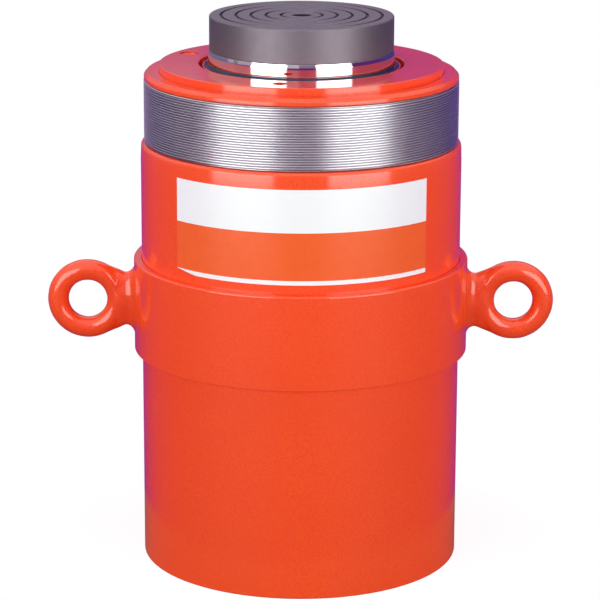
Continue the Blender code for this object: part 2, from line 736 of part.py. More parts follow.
def make_piston_nut():
    """The nut that holds the piston on the rod's spigot, and its radial locking screw."""
    inner = around(SPIGOT_RADIUS, INNER_STEPS, GAP)
    profile = [
        (inner, ROD_FOOT),
        (inner, PISTON_NUT_TOP),
        (PISTON_NUT_RADIUS, PISTON_NUT_TOP),
        (PISTON_NUT_RADIUS, ROD_FOOT + PISTON_NUT_CHAMFER),
        (PISTON_NUT_RADIUS - PISTON_NUT_CHAMFER, ROD_FOOT),
    ]
    nut = turned("piston_nut", profile, INNER_STEPS, "machined_steel")
    place = radial(0.0, (ROD_FOOT + PISTON_NUT_TOP) / 2)
    hole = (NUT_SCREW_RADIUS + GAP, SPIGOT_RADIUS - NUT_SCREW_DEPTH, PISTON_NUT_RADIUS + OVERCUT)
    drill(nut, "piston_nut_hole", place, (hole,))
    bake(nut)
    screw_end = SPIGOT_RADIUS - NUT_SCREW_DEPTH + GAP
    flat = PISTON_NUT_RADIUS * math.cos(math.pi / INNER_STEPS) - PISTON_NUT_CHAMFER
    screw = prism("piston_nut_screw", NUT_SCREW_RADIUS, screw_end, flat, SMALL_STEPS, "machined_steel")
    key = prism("piston_nut_screw_key", NUT_SCREW_RADIUS / 2, flat - NUT_SCREW_RADIUS, flat + OVERCUT, 6)
    boolean(screw, key)
    screw.matrix_world = place
    key.matrix_world = place
    bake(screw)


def make_rod():
    """The rod: spigot for the piston, plated shaft, and the stem's bore in its top."""
    top_radius = ROD_RADIUS - ROD_CHAMFER_RADIAL
    profile = [
        (0.0, ROD_TOP - STEM_BORE_DEPTH),
        (STEM_BORE_RADIUS, ROD_TOP - STEM_BORE_DEPTH),
        (STEM_BORE_RADIUS, ROD_TOP),
        (top_radius, ROD_TOP),
        (ROD_RADIUS, ROD_TOP - ROD_CHAMFER_HEIGHT),
        (ROD_RADIUS, ROD_SHOULDER),
        (SPIGOT_RADIUS, ROD_SHOULDER),
        (SPIGOT_RADIUS, ROD_FOOT + PISTON_NUT_CHAMFER),
        (SPIGOT_RADIUS - PISTON_NUT_CHAMFER, ROD_FOOT),
        (0.0, ROD_FOOT),
    ]
    rod = turned("piston_rod", profile, ROD_STEPS, "chrome", closed=False)
    place = radial(0.0, (ROD_FOOT + PISTON_NUT_TOP) / 2)
    hole = (NUT_SCREW_RADIUS + GAP, SPIGOT_RADIUS - NUT_SCREW_DEPTH, SPIGOT_RADIUS + OVERCUT)
    drill(rod, "rod_screw_hole", place, (hole,))
    bake(rod)


def saddle_profile():
    """Half section of the saddle: hole, grooved top, chamfered side, underside and stem."""
    rim = SADDLE_RADIUS - SADDLE_CHAMFER
    profile = [
        (0.0, SADDLE_TOP - SADDLE_HOLE_DEPTH),
        (SADDLE_HOLE_RADIUS, SADDLE_TOP - SADDLE_HOLE_DEPTH),
        (SADDLE_HOLE_RADIUS, SADDLE_TOP - SADDLE_HOLE_CHAMFER),
        (SADDLE_HOLE_RADIUS + SADDLE_HOLE_CHAMFER, SADDLE_TOP),
    ]
    for i in range(SADDLE_GROOVES):
        middle = SADDLE_FIRST_GROOVE_RADIUS + i * SADDLE_GROOVE_PITCH
        if middle + SADDLE_GROOVE_WIDTH < rim:
            profile += [
                (middle - SADDLE_GROOVE_WIDTH / 2, SADDLE_TOP),
                (middle, SADDLE_TOP - SADDLE_GROOVE_DEPTH),
                (middle + SADDLE_GROOVE_WIDTH / 2, SADDLE_TOP),
            ]
    ring_middle = SADDLE_BOTTOM - SADDLE_STEM_LENGTH + RETAINING_RING_ABOVE_END
    half_ring = RETAINING_RING_SECTION / 2
    profile += [
        (rim, SADDLE_TOP),
        (SADDLE_RADIUS, SADDLE_TOP - SADDLE_CHAMFER),
        (SADDLE_RADIUS, SADDLE_BOTTOM),
        (SADDLE_STEM_RADIUS, SADDLE_BOTTOM),
    ]
    profile += groove(
        SADDLE_STEM_RADIUS, RETAINING_RING_SECTION, ring_middle - half_ring, ring_middle + half_ring
    )
    profile += [
        (SADDLE_STEM_RADIUS, SADDLE_BOTTOM - SADDLE_STEM_LENGTH),
        (0.0, SADDLE_BOTTOM - SADDLE_STEM_LENGTH),
    ]
    return profile


def make_saddle():
    """The grooved saddle, whose stem turns in the rod's bore, and its retaining ring."""
    bake(turned("saddle", saddle_profile(), ROD_STEPS, "saddle_steel", closed=False))
    middle = SADDLE_BOTTOM - SADDLE_STEM_LENGTH + RETAINING_RING_ABOVE_END
    round_ring(
        "saddle_retaining_ring",
        around(SADDLE_STEM_RADIUS - RETAINING_RING_SECTION, INNER_STEPS, GAP),
        SADDLE_STEM_RADIUS + GAP / 2,
        middle,
        INNER_STEPS,
        "seal_rubber",
    )


def gland_levels():
    """Heights of the gland's grooves, as (bottom, top) by name."""
    o_ring_top = FLANGE_BOTTOM - GLAND_GROOVE_BELOW_STEP
    groove_height = GLAND_O_RING_SECTION + BACKUP_RING_HEIGHT + GAP
    lower = GLAND_BOTTOM + GALLERY_HEIGHT
    seal = (FLANGE_BOTTOM + FLANGE_TOP) / 2
    upper = FLANGE_TOP + BEARING_ABOVE_FLANGE
    return {
        "o_ring": (o_ring_top - groove_height, o_ring_top),
        "lower_bearing": (lower, lower + LOWER_BEARING_HEIGHT),
        "rod_seal": (seal - ROD_SEAL_HEIGHT / 2, seal + ROD_SEAL_HEIGHT / 2),
        "upper_bearing": (upper, upper + UPPER_BEARING_HEIGHT),
        "wiper": (GLAND_TOP - WIPER_HEIGHT, GLAND_TOP),
    }


def make_gland():
    """The gland and the bearings, seals and wiper in its grooves."""
    levels = gland_levels()
    outer = BORE_RADIUS - 2 * RUNNING_GAP
    flange = MOUTH_RADIUS - 2 * RUNNING_GAP
    inner = around(ROD_RADIUS, GLAND_STEPS, 2 * RUNNING_GAP)
    wiper_seat = WIPER_RADIUS + GAP
    profile = [
        (wiper_seat, levels["wiper"][0]),
        (wiper_seat, GLAND_TOP),
        (GLAND_NECK_RADIUS, GLAND_TOP),
        (GLAND_NECK_RADIUS, FLANGE_TOP),
        (flange, FLANGE_TOP),
        (flange, FLANGE_BOTTOM),
        (outer, FLANGE_BOTTOM),
    ]
    profile += groove(outer, GLAND_O_RING_SECTION, *levels["o_ring"])
    profile += [
        (outer, GLAND_BOTTOM + GALLERY_HEIGHT),
        (GALLERY_RADIUS, GLAND_BOTTOM + GALLERY_HEIGHT),
        (GALLERY_RADIUS, GLAND_BOTTOM + GLAND_CHAMFER),
        (GALLERY_RADIUS - GLAND_CHAMFER, GLAND_BOTTOM),
        (inner, GLAND_BOTTOM),
    ]
    profile += inner_groove(inner, ROD_BEARING_THICKNESS, *levels["lower_bearing"])
    profile += inner_groove(inner, ROD_SEAL_DEPTH, *levels["rod_seal"])
    profile += inner_groove(inner, ROD_BEARING_THICKNESS, *levels["upper_bearing"])
    profile.append((inner, levels["wiper"][0]))
    gland = turned("gland", profile, GLAND_STEPS, "orange_paint")
    screw_hole = prism(
        "gland_screw_hole",
        LOCK_SCREW_RADIUS + GAP,
        FLANGE_TOP - LOCK_SCREW_IN_GLAND - GAP,
        FLANGE_TOP + GAP,
        SMALL_STEPS,
    )
    screw_hole.location = polar(LOCK_SCREW_CIRCLE_RADIUS, LOCK_SCREW_ANGLE)
    boolean(gland, screw_hole)
    bake(gland)

    running = around(ROD_RADIUS, GLAND_STEPS)
    bearing_outer = inner + ROD_BEARING_THICKNESS - GAP
    for name in ("lower_bearing", "upper_bearing"):
        bottom, top = levels[name]
        node = name.replace("_", "_rod_")
        ring(node, running, bearing_outer, bottom + GAP, top - GAP, GLAND_STEPS, "bearing_bronze")
    bottom, top = levels["rod_seal"]
    seal_outer = inner + ROD_SEAL_DEPTH - GAP
    cup_ring("rod_seal", running, seal_outer, bottom + GAP, top - GAP, False, GLAND_STEPS, "seal_rubber")
    make_wiper(*levels["wiper"])
    bottom, top = levels["o_ring"]
    floor = outer - GLAND_O_RING_SECTION + GAP
    middle = bottom + GLAND_O_RING_SECTION / 2
    round_ring("gland_o_ring", floor, outer, middle, GLAND_STEPS, "seal_rubber")
    backup = top - BACKUP_RING_HEIGHT
    ring("gland_backup_ring", floor, outer, backup, top - GAP, GLAND_STEPS, "backup_plastic")


def make_wiper(bottom, top):
    """The wiper, whose lip stands a little above the gland."""
    inner = around(ROD_RADIUS, GLAND_STEPS)
    profile = [
        (inner, bottom + GAP),
        (inner, top + WIPER_LIP_HEIGHT),
        (inner + (WIPER_LIP_RADIUS - inner) / 2, top + WIPER_LIP_HEIGHT),
        (WIPER_LIP_RADIUS, top),
        (WIPER_RADIUS, top),
        (WIPER_RADIUS, bottom + GAP),
    ]
    bake(turned("rod_wiper", profile, GLAND_STEPS, "wiper_polyurethane"))


def make_gland_nut():
    """The gland nut with its spanner holes, and the screw that locks it to the gland."""
    profile = [
        (NUT_BORE_RADIUS, NUT_BOTTOM),
        (NUT_BORE_RADIUS, NUT_TOP),
        (NUT_RADIUS - NUT_EDGE, NUT_TOP),
        (NUT_RADIUS, NUT_TOP - NUT_EDGE),
        (NUT_RADIUS, NUT_BOTTOM),
    ]
    nut = turned("gland_nut", profile, BODY_STEPS, "orange_paint")
    for number, angle in enumerate(SPANNER_ANGLES):
        place = Matrix.Translation(polar(SPANNER_CIRCLE_RADIUS, angle))
        section = (SPANNER_HOLE_RADIUS, NUT_TOP - SPANNER_HOLE_DEPTH, NUT_TOP + SPANNER_HOLE_DEPTH)
        drill(nut, f"spanner_hole_{number}", place, (section,))
    place = Matrix.Translation(polar(LOCK_SCREW_CIRCLE_RADIUS, LOCK_SCREW_ANGLE))
    head_bottom = NUT_TOP - LOCK_SCREW_SUNK - LOCK_SCREW_HEAD_HEIGHT
    sections = (
        (LOCK_SCREW_HEAD_RADIUS + 2 * GAP, head_bottom - GAP, NUT_TOP + LOCK_SCREW_SUNK),
        (LOCK_SCREW_RADIUS + GAP, NUT_BOTTOM - GAP, head_bottom),
    )
    drill(nut, "lock_screw_hole", place, sections)
    bake(nut)

    tip = FLANGE_TOP - LOCK_SCREW_IN_GLAND
    profile = [
        (0.0, head_bottom + LOCK_SCREW_HEAD_HEIGHT),
        (LOCK_SCREW_HEAD_RADIUS - NUT_EDGE, head_bottom + LOCK_SCREW_HEAD_HEIGHT),
        (LOCK_SCREW_HEAD_RADIUS, head_bottom + LOCK_SCREW_HEAD_HEIGHT - NUT_EDGE),
        (LOCK_SCREW_HEAD_RADIUS, head_bottom),
        (LOCK_SCREW_RADIUS, head_bottom),
        (LOCK_SCREW_RADIUS, tip),
        (0.0, tip),
    ]
    screw = turned("gland_lock_screw", profile, SMALL_STEPS, "orange_paint", closed=False)
    key_bottom = head_bottom + LOCK_SCREW_HEAD_HEIGHT - LOCK_SCREW_KEY_DEPTH
    key = prism("lock_screw_key", LOCK_SCREW_KEY_RADIUS, key_bottom, NUT_TOP + LOCK_SCREW_SUNK, 6)
    boolean(screw, key)
    screw.matrix_world = place
    key.matrix_world = place
    bake(screw)


def hex_inner(bore, outside):
    """Corner radius of a hexagon's hole that stays inside the metal between a bore and its wall."""
    return (bore + outside) / 2


def make_coupler(name, height):
    """A half coupler in a port: body, poppet, spring, spring guide and mouth seal."""
    place = radial(90.0, height, PORT_FACE)
    nose = COUPLER_HEX_LENGTH + COUPLER_NOSE_LENGTH
    seat_top = nose - COUPLER_SOCKET_DEPTH
    seat_bottom = seat_top - COUPLER_SEAT_THICKNESS
    tip = -COUPLER_NIPPLE_LENGTH
    seal_middle = nose - COUPLER_SEAL_FROM_MOUTH
    half_seal = COUPLER_SEAL_SECTION / 2
    profile = [
        (COUPLER_BORE_RADIUS, tip),
        (COUPLER_BORE_RADIUS, seat_bottom),
        (COUPLER_SEAT_HOLE_RADIUS, seat_bottom),
        (COUPLER_SEAT_HOLE_RADIUS, seat_top),
        (COUPLER_SOCKET_RADIUS, seat_top),
    ]
    profile += inner_groove(
        COUPLER_SOCKET_RADIUS, COUPLER_GROOVE_DEPTH, seal_middle - half_seal, seal_middle + half_seal
    )
    profile += [
        (COUPLER_SOCKET_RADIUS, nose),
        (COUPLER_NOSE_RADIUS - COUPLER_NOSE_CHAMFER, nose),
        (COUPLER_NOSE_RADIUS, nose - COUPLER_NOSE_CHAMFER),
        (COUPLER_NOSE_RADIUS, GAP),
        (PORT_THREAD_RADIUS, GAP),
        (PORT_THREAD_RADIUS, tip),
    ]
    body = turned(f"{name}_coupler_body", profile, SMALL_STEPS, "coupler_steel")
    hex_hole = hex_inner(COUPLER_BORE_RADIUS, COUPLER_NOSE_RADIUS)
    hexagon = rectangle(hex_hole, COUPLER_HEX_RADIUS, GAP, COUPLER_HEX_LENGTH)
    collar = turned(f"{name}_coupler_hex", hexagon, 6)
    boolean(body, collar, "UNION")
    body.matrix_world = place
    collar.matrix_world = place
    bake(body)

    poppet_radius = COUPLER_BORE_RADIUS - RUNNING_GAP
    poppet_top = seat_bottom - GAP
    poppet_bottom = poppet_top - POPPET_LENGTH
    profile = [
        (0.0, seat_top + POPPET_NOSE_PROUD),
        (POPPET_NOSE_RADIUS / 2, seat_top + POPPET_NOSE_PROUD),
        (POPPET_NOSE_RADIUS, seat_top + POPPET_NOSE_PROUD / 2),
        (POPPET_NOSE_RADIUS, poppet_top),
        (poppet_radius, poppet_top),
        (poppet_radius, poppet_bottom),
        (0.0, poppet_bottom),
    ]
    poppet = turned(f"{name}_coupler_poppet", profile, SMALL_STEPS, "machined_steel", closed=False)
    poppet.matrix_world = place
    bake(poppet)

    guide_bottom = tip + GUIDE_THICKNESS
    guide = turned(
        f"{name}_coupler_spring_guide",
        rectangle(GUIDE_HOLE_RADIUS, poppet_radius, guide_bottom, guide_bottom + GUIDE_THICKNESS),
        SMALL_STEPS,
        "coupler_steel",
    )
    guide.matrix_world = place
    bake(guide)
    coil = spring(
        f"{name}_coupler_spring",
        poppet_radius - 2 * COUPLER_SPRING_WIRE,
        COUPLER_SPRING_WIRE,
        guide_bottom + GUIDE_THICKNESS + GAP,
        poppet_bottom - GAP,
        COUPLER_SPRING_TURNS,
        "spring_steel",
    )
    coil.matrix_world = place
    seal = round_ring(
        f"{name}_coupler_seal",
        COUPLER_SOCKET_RADIUS - GAP,
        COUPLER_SOCKET_RADIUS + COUPLER_GROOVE_DEPTH - GAP,
        seal_middle,
        SMALL_STEPS,
        "seal_rubber",
    )
    seal.matrix_world = place


def make_relief_valve():
    """The retract side's relief valve: cartridge, ball on its seat, spring and adjuster."""
    place = radial(RELIEF_AZIMUTH, RETRACT_PORT_HEIGHT, PORT_FACE)
    tip = -RELIEF_THREAD_LENGTH
    seat = tip + RELIEF_SEAT_LENGTH
    hex_top = RELIEF_HEX_LENGTH - GAP
    profile = [
        (RELIEF_ORIFICE_RADIUS, tip),
        (RELIEF_ORIFICE_RADIUS, seat),
        (RELIEF_BORE_RADIUS, seat),
        (RELIEF_BORE_RADIUS, RELIEF_HEX_LENGTH),
        (RELIEF_THREAD_RADIUS, RELIEF_HEX_LENGTH),
        (RELIEF_THREAD_RADIUS, tip),
    ]
    body = turned("relief_valve_body", profile, SMALL_STEPS, "coupler_steel")
    hex_hole = hex_inner(RELIEF_BORE_RADIUS, RELIEF_THREAD_RADIUS)
    collar = turned("relief_valve_hex", rectangle(hex_hole, RELIEF_HEX_RADIUS, GAP, hex_top), 6)
    boolean(body, collar, "UNION")
    body.matrix_world = place
    collar.matrix_world = place
    bake(body)

    ball_middle = seat + GAP + math.sqrt(RELIEF_BALL_RADIUS**2 - RELIEF_ORIFICE_RADIUS**2)
    mesh = bpy.data.meshes.new("relief_valve_ball")
    shape = bmesh.new()
    bmesh.ops.create_uvsphere(shape, u_segments=12, v_segments=8, radius=RELIEF_BALL_RADIUS)
    bmesh.ops.translate(shape, verts=shape.verts, vec=(0.0, 0.0, ball_middle))
    shape.to_mesh(mesh)
    shape.free()
    ball = add_object("relief_valve_ball", mesh, "machined_steel")
    smooth_by_angle(mesh, 60.0)
    ball.matrix_world = place

    adjuster_top = RELIEF_HEX_LENGTH - RELIEF_ADJUSTER_SUNK
    adjuster_bottom = adjuster_top - RELIEF_ADJUSTER_LENGTH
    adjuster = prism(
        "relief_valve_adjuster",
        RELIEF_BORE_RADIUS - RUNNING_GAP,
        adjuster_bottom,
        adjuster_top,
        SMALL_STEPS,
        "machined_steel",
    )
    key_bottom = adjuster_top - RELIEF_KEY_DEPTH
    key = prism("adjuster_key", RELIEF_KEY_RADIUS, key_bottom, adjuster_top + OVERCUT, 6)
    vent = prism("adjuster_vent", RELIEF_VENT_RADIUS, adjuster_bottom - OVERCUT, adjuster_top, 8)
    for tool in (key, vent):
        tool.matrix_world = place
        boolean(adjuster, tool)
    adjuster.matrix_world = place
    bake(adjuster)

    coil = spring(
        "relief_valve_spring",
        RELIEF_BORE_RADIUS - RELIEF_SPRING_WIRE - RELIEF_SPRING_SIDE_GAP,
        RELIEF_SPRING_WIRE,
        ball_middle + RELIEF_BALL_RADIUS + GAP,
        adjuster_bottom - GAP,
        RELIEF_SPRING_TURNS,
        "spring_steel",
    )
    coil.matrix_world = place


make_barrel()
make_band()
make_eye("right_lifting_eye", 1)
make_eye("left_lifting_eye", -1)
make_piston()
make_piston_nut()
make_rod()
make_saddle()
make_gland()
make_gland_nut()
make_coupler("advance", ADVANCE_PORT_HEIGHT)
make_coupler("retract", RETRACT_PORT_HEIGHT)
make_relief_valve()
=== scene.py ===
"""Looks of the double-acting hydraulic cylinder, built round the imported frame."""

import json
import math

import bmesh
import bpy
from mathutils import Matrix, Vector, noise


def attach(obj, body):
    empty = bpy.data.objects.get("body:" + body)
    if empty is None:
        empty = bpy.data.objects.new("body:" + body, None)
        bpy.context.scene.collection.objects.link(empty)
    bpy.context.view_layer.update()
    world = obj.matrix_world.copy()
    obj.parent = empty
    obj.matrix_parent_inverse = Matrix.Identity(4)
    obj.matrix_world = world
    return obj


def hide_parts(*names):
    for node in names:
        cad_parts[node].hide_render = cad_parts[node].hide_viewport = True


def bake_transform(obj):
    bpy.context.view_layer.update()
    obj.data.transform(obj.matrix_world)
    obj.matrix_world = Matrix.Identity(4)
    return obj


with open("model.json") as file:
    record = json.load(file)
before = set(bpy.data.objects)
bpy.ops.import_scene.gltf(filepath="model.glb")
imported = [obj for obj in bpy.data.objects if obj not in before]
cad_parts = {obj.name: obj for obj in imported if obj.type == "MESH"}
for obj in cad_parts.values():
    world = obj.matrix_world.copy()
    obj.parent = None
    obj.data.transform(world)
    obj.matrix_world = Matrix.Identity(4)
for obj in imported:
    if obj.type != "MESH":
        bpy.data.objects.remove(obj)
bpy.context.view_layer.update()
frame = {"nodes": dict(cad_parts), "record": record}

# Facets round the turned pieces
BODY_STEPS = 240
ROD_STEPS = 180
SMALL_STEPS = 48
ARC_POINTS = 5
SHARP_ANGLE = 32.0

# How far cutting tools reach past a face, in metres
TOOL_REACH = 0.01

# Sizes repeated from the solids, in metres
GAP = 0.0003
BODY_RADIUS = 0.206375
BORE_RADIUS = 0.143
FLOOR = 0.086
BARREL_STEP = 0.5208
BARREL_TOP = 0.6414
COLLAR_RADIUS = 0.2014
THREAD_ROOT_RADIUS = 0.19985
THREAD_MAJOR_RADIUS = 0.2018
THREAD_PITCH = 0.003175
THREAD_TOP = 0.6327
THREAD_BOTTOM = 0.5510
SHOULDER_LEAN = 0.00072
SHOULDER_HEIGHT = 0.022
MOUTH_RADIUS = 0.1824
PORT_FACE = 0.204775
PORT_SEAT_RADIUS = 0.024
PORT_HEIGHTS = {"advance": 0.098, "retract": 0.4576}
COUPLER_HEX_RADIUS = 0.0202
COUPLER_HEX_LENGTH = 0.018
COUPLER_NOSE_RADIUS = 0.0162
COUPLER_NOSE_ROOT_RADIUS = 0.0152
COUPLER_NOSE_LENGTH = 0.030
COUPLER_NOSE_PITCH = 0.001814
COUPLER_THREAD_RELIEF = 0.004
COUPLER_NIPPLE_RADIUS = 0.0085
COUPLER_NIPPLE_LENGTH = 0.018
COUPLER_BORE_RADIUS = 0.0063
COUPLER_SEAT_HOLE_RADIUS = 0.0045
COUPLER_SEAT_THICKNESS = 0.003
COUPLER_SOCKET_RADIUS = 0.0100
COUPLER_SOCKET_DEPTH = 0.016
COUPLER_GROOVE_DEPTH = 0.00154
COUPLER_GROOVE_HALF_WIDTH = 0.0011
COUPLER_SEAL_FROM_MOUTH = 0.005
COUPLER_SPRING_RADIUS = 0.0041
COUPLER_SPRING_WIRE = 0.0009
COUPLER_SPRING_TURNS = 4
COUPLER_GUIDE_THICKNESS = 0.003
COIL_STEPS = 24
COIL_SIDES = 10
POPPET_LENGTH = 0.010
POPPET_NOSE_RADIUS = 0.0040
POPPET_PROUD = 0.003
RELIEF_AZIMUTH = 115.0
RELIEF_SEAT_RADIUS = 0.017
RELIEF_THREAD_RADIUS = 0.0088
RELIEF_THREAD_LENGTH = 0.030
RELIEF_HEX_RADIUS = 0.0135
RELIEF_HEX_LENGTH = 0.010
RELIEF_BORE_RADIUS = 0.0056
RELIEF_ORIFICE_RADIUS = 0.0020
RELIEF_SEAT_LENGTH = 0.008
RELIEF_ADJUSTER_LENGTH = 0.009
RELIEF_ADJUSTER_SUNK = 0.002
RELIEF_KEY_RADIUS = 0.0030
RELIEF_KEY_DEPTH = 0.005
RELIEF_VENT_RADIUS = 0.0012
BAND_RADIUS = 0.216675
BAND_BOTTOM = 0.2775
BAND_TOP = 0.3985
EYE_HEIGHT = 0.3390
EYE_REACH = 0.0609
EYE_RING_RADIUS = 0.0386
EYE_STOCK_RADIUS = 0.0136
EYE_NECK_LENGTH = 0.0120
EYE_NECK_HEIGHT = 0.0356
EYE_NECK_THICKNESS = 0.0150
EYE_FLARE_HEIGHT = 0.0474
EYE_FLARE_THICKNESS = 0.0275
EYE_FLARE_SINK = 0.0022
NUT_RADIUS = 0.1821
NUT_BORE_RADIUS = 0.1312
NUT_BOTTOM = 0.5514
NUT_TOP = 0.6514
GLAND_TOP = 0.6489
GLAND_NECK_RADIUS = 0.1268
WIPER_RADIUS = 0.1243
WIPER_LIP_RADIUS = 0.1222
WIPER_LIP_HEIGHT = 0.0034
WIPER_HEIGHT = 0.014
WIPER_VALLEY = 0.0004
WIPER_BEAD = 0.0010
SPANNER_CIRCLE_RADIUS = 0.153
SPANNER_HOLE_RADIUS = 0.00915
SPANNER_HOLE_DEPTH = 0.016
SPANNER_ANGLES = (-100.0, 80.0)
LOCK_SCREW_ANGLE = 156.0
LOCK_SCREW_CIRCLE_RADIUS = 0.160
LOCK_SCREW_HEAD_RADIUS = 0.0122
LOCK_SCREW_HEAD_HEIGHT = 0.016
LOCK_SCREW_SUNK = 0.0015
LOCK_SCREW_DISH = 0.0030
ROD_RADIUS = 0.1192
ROD_FOOT = 0.0863
ROD_SHOULDER = 0.1926
ROD_TOP = 0.6689
ROD_CHAMFER_RADIAL = 0.0013
ROD_CHAMFER_HEIGHT = 0.0045
SPIGOT_RADIUS = 0.085
STEM_BORE_RADIUS = 0.0508
STEM_BORE_DEPTH = 0.042
SADDLE_RADIUS = 0.1179
SADDLE_BOTTOM = 0.6692
SADDLE_TOP = 0.7128
SADDLE_STEM_RADIUS = 0.050
SADDLE_STEM_LENGTH = 0.040
SADDLE_HOLE_RADIUS = 0.0118
SADDLE_HOLE_DEPTH = 0.030
SADDLE_GROOVE_PITCH = 0.01905
SADDLE_FIRST_GROOVE_RADIUS = 0.0265
SADDLE_GROOVES = 5
SADDLE_NICK_ANGLE = -36.5
SADDLE_GROOVE_WIDTH = 0.0040
SADDLE_GROOVE_DEPTH = 0.0023


def add_node(tree, kind, inputs=None, **settings):
    """A shader node with its settings and inputs, which are values or sockets to link from."""
    item = tree.nodes.new(kind)
    for key, value in settings.items():
        setattr(item, key, value)
    for key, value in (inputs or {}).items():
        if isinstance(value, bpy.types.NodeSocket):
            tree.links.new(value, item.inputs[key])
        else:
            item.inputs[key].default_value = value
    return item


def object_position(tree, scale=(1.0, 1.0, 1.0)):
    """The object's own coordinates, in metres, times a scale."""
    place = add_node(tree, "ShaderNodeTexCoord").outputs["Object"]
    return add_node(tree, "ShaderNodeMapping", {"Vector": place, "Scale": scale}).outputs[0]


def noise_value(tree, scale, detail=3.0, stretch=(1.0, 1.0, 1.0)):
    """A noise from 0 to 1; scale is features per metre."""
    return add_node(
        tree,
        "ShaderNodeTexNoise",
        {"Vector": object_position(tree, stretch), "Scale": scale, "Detail": detail},
    ).outputs[0]


def ranged(tree, value, low, high, start=0.2, end=0.8):
    """A noise value mapped to run from low to high."""
    return add_node(
        tree,
        "ShaderNodeMapRange",
        {"Value": value, "From Min": start, "From Max": end, "To Min": low, "To Max": high},
    ).outputs[0]


def mixed(tree, factor, first, second):
    """A mix of two colours or colour sockets."""
    item = add_node(tree, "ShaderNodeMix", data_type="RGBA")
    for index, value in ((0, factor), (6, first), (7, second)):
        if isinstance(value, bpy.types.NodeSocket):
            tree.links.new(value, item.inputs[index])
        else:
            item.inputs[index].default_value = value
    return item.outputs[2]


def bumped(tree, height, strength, distance):
    """A bump normal."""
    return add_node(
        tree,
        "ShaderNodeBump",
        {"Height": height, "Strength": strength, "Distance": distance},
    ).outputs[0]


def computed(tree, operation, *values):
    """The result of a math node."""
    return add_node(tree, "ShaderNodeMath", dict(enumerate(values)), operation=operation).outputs[0]


def axis_distance(tree):
    """How far a point is from the cylinder's axis."""
    place = object_position(tree, (1.0, 1.0, 0.0))
    return add_node(tree, "ShaderNodeVectorMath", {0: place}, operation="LENGTH").outputs["Value"]


def empty_material(name):
    """A new material without nodes."""
    material = bpy.data.materials.new(name)
    material.use_nodes = True
    material.node_tree.nodes.clear()
    return material


def start_material(name, metallic=0.0, **sockets):
    """A Principled material, its tree and its shader."""
    material = bpy.data.materials.new(name)
    material.use_nodes = True
    tree = material.node_tree
    shader = tree.nodes["Principled BSDF"]
    shader.inputs["Metallic"].default_value = metallic
    for key, value in sockets.items():
        shader.inputs[key.replace("_", " ").title().replace("Ior", "IOR")].default_value = value
    return material, tree, shader


def paint_material():
    """Orange enamel: a satin base under a glossy coat with a faint orange peel."""
    material, tree, shader = start_material("orange_enamel", coat_weight=1.0, coat_ior=1.5)
    shader.inputs["Specular IOR Level"].default_value = 0.2
    drift = ranged(tree, noise_value(tree, 9.0, 2.0), 0.0, 1.0)
    colour = mixed(tree, drift, (0.87, 0.080, 0.007, 1.0), (0.91, 0.092, 0.008, 1.0))
    mottle = ranged(tree, noise_value(tree, 420.0, 2.0), 0.0, 1.0, 0.38, 0.62)
    colour = mixed(tree, mottle, colour, (0.89, 0.056, 0.010, 1.0))
    tree.links.new(colour, shader.inputs["Base Color"])
    rough = ranged(tree, noise_value(tree, 40.0, 4.0), 0.42, 0.54)
    tree.links.new(rough, shader.inputs["Roughness"])
    gloss = ranged(tree, noise_value(tree, 55.0, 4.0), 0.07, 0.13)
    tree.links.new(gloss, shader.inputs["Coat Roughness"])
    peel = bumped(tree, noise_value(tree, 520.0, 3.0), 0.3, 0.00005)
    tree.links.new(peel, shader.inputs["Normal"])
    tree.links.new(peel, shader.inputs["Coat Normal"])
    return material


# Depth below the thread's crests over which the steel keeps its full colour; deeper down, painted shade
# darkens it towards the roots
THREAD_CREST_BELOW = 0.0006


def thread_material():
    """Turned bright steel, a little oxidised in patches, with painted shade darkening it towards the root of
    each turn.
    """
    material, tree, shader = start_material("thread_steel", metallic=1.0)
    drift = ranged(tree, noise_value(tree, 22.0, 4.0, (1.0, 1.0, 2.0)), 0.0, 1.0)
    colour = mixed(tree, drift, (0.66, 0.65, 0.665, 1.0), (0.74, 0.73, 0.745, 1.0))
    # Painted shade: the steel's colour darkens from just below the crests down to the roots
    crest = THREAD_MAJOR_RADIUS - THREAD_CREST_BELOW
    thread_groove_shade = ranged(tree, axis_distance(tree), 0.5, 0.0, THREAD_ROOT_RADIUS, crest)
    colour = mixed(tree, thread_groove_shade, colour, (0.09, 0.08, 0.14, 1.0))
    tree.links.new(colour, shader.inputs["Base Color"])
    rough = ranged(tree, noise_value(tree, 30.0, 3.0), 0.27, 0.33)
    tree.links.new(rough, shader.inputs["Roughness"])
    grain = noise_value(tree, 900.0, 2.0)
    tree.links.new(bumped(tree, grain, 0.03, 0.00002), shader.inputs["Normal"])
    return material


def chrome_material():
    """Hard chrome, ground and polished."""
    material, tree, shader = start_material("hard_chrome", metallic=1.0)
    shader.inputs["Base Color"].default_value = (0.80, 0.79, 0.82, 1.0)
    rough = ranged(tree, noise_value(tree, 70.0, 4.0, (1.0, 1.0, 3.0)), 0.03, 0.07)
    tree.links.new(rough, shader.inputs["Roughness"])
    lines = noise_value(tree, 900.0, 2.0, (0.1, 0.1, 4.0))
    tree.links.new(bumped(tree, lines, 0.06, 0.00002), shader.inputs["Normal"])
    return material


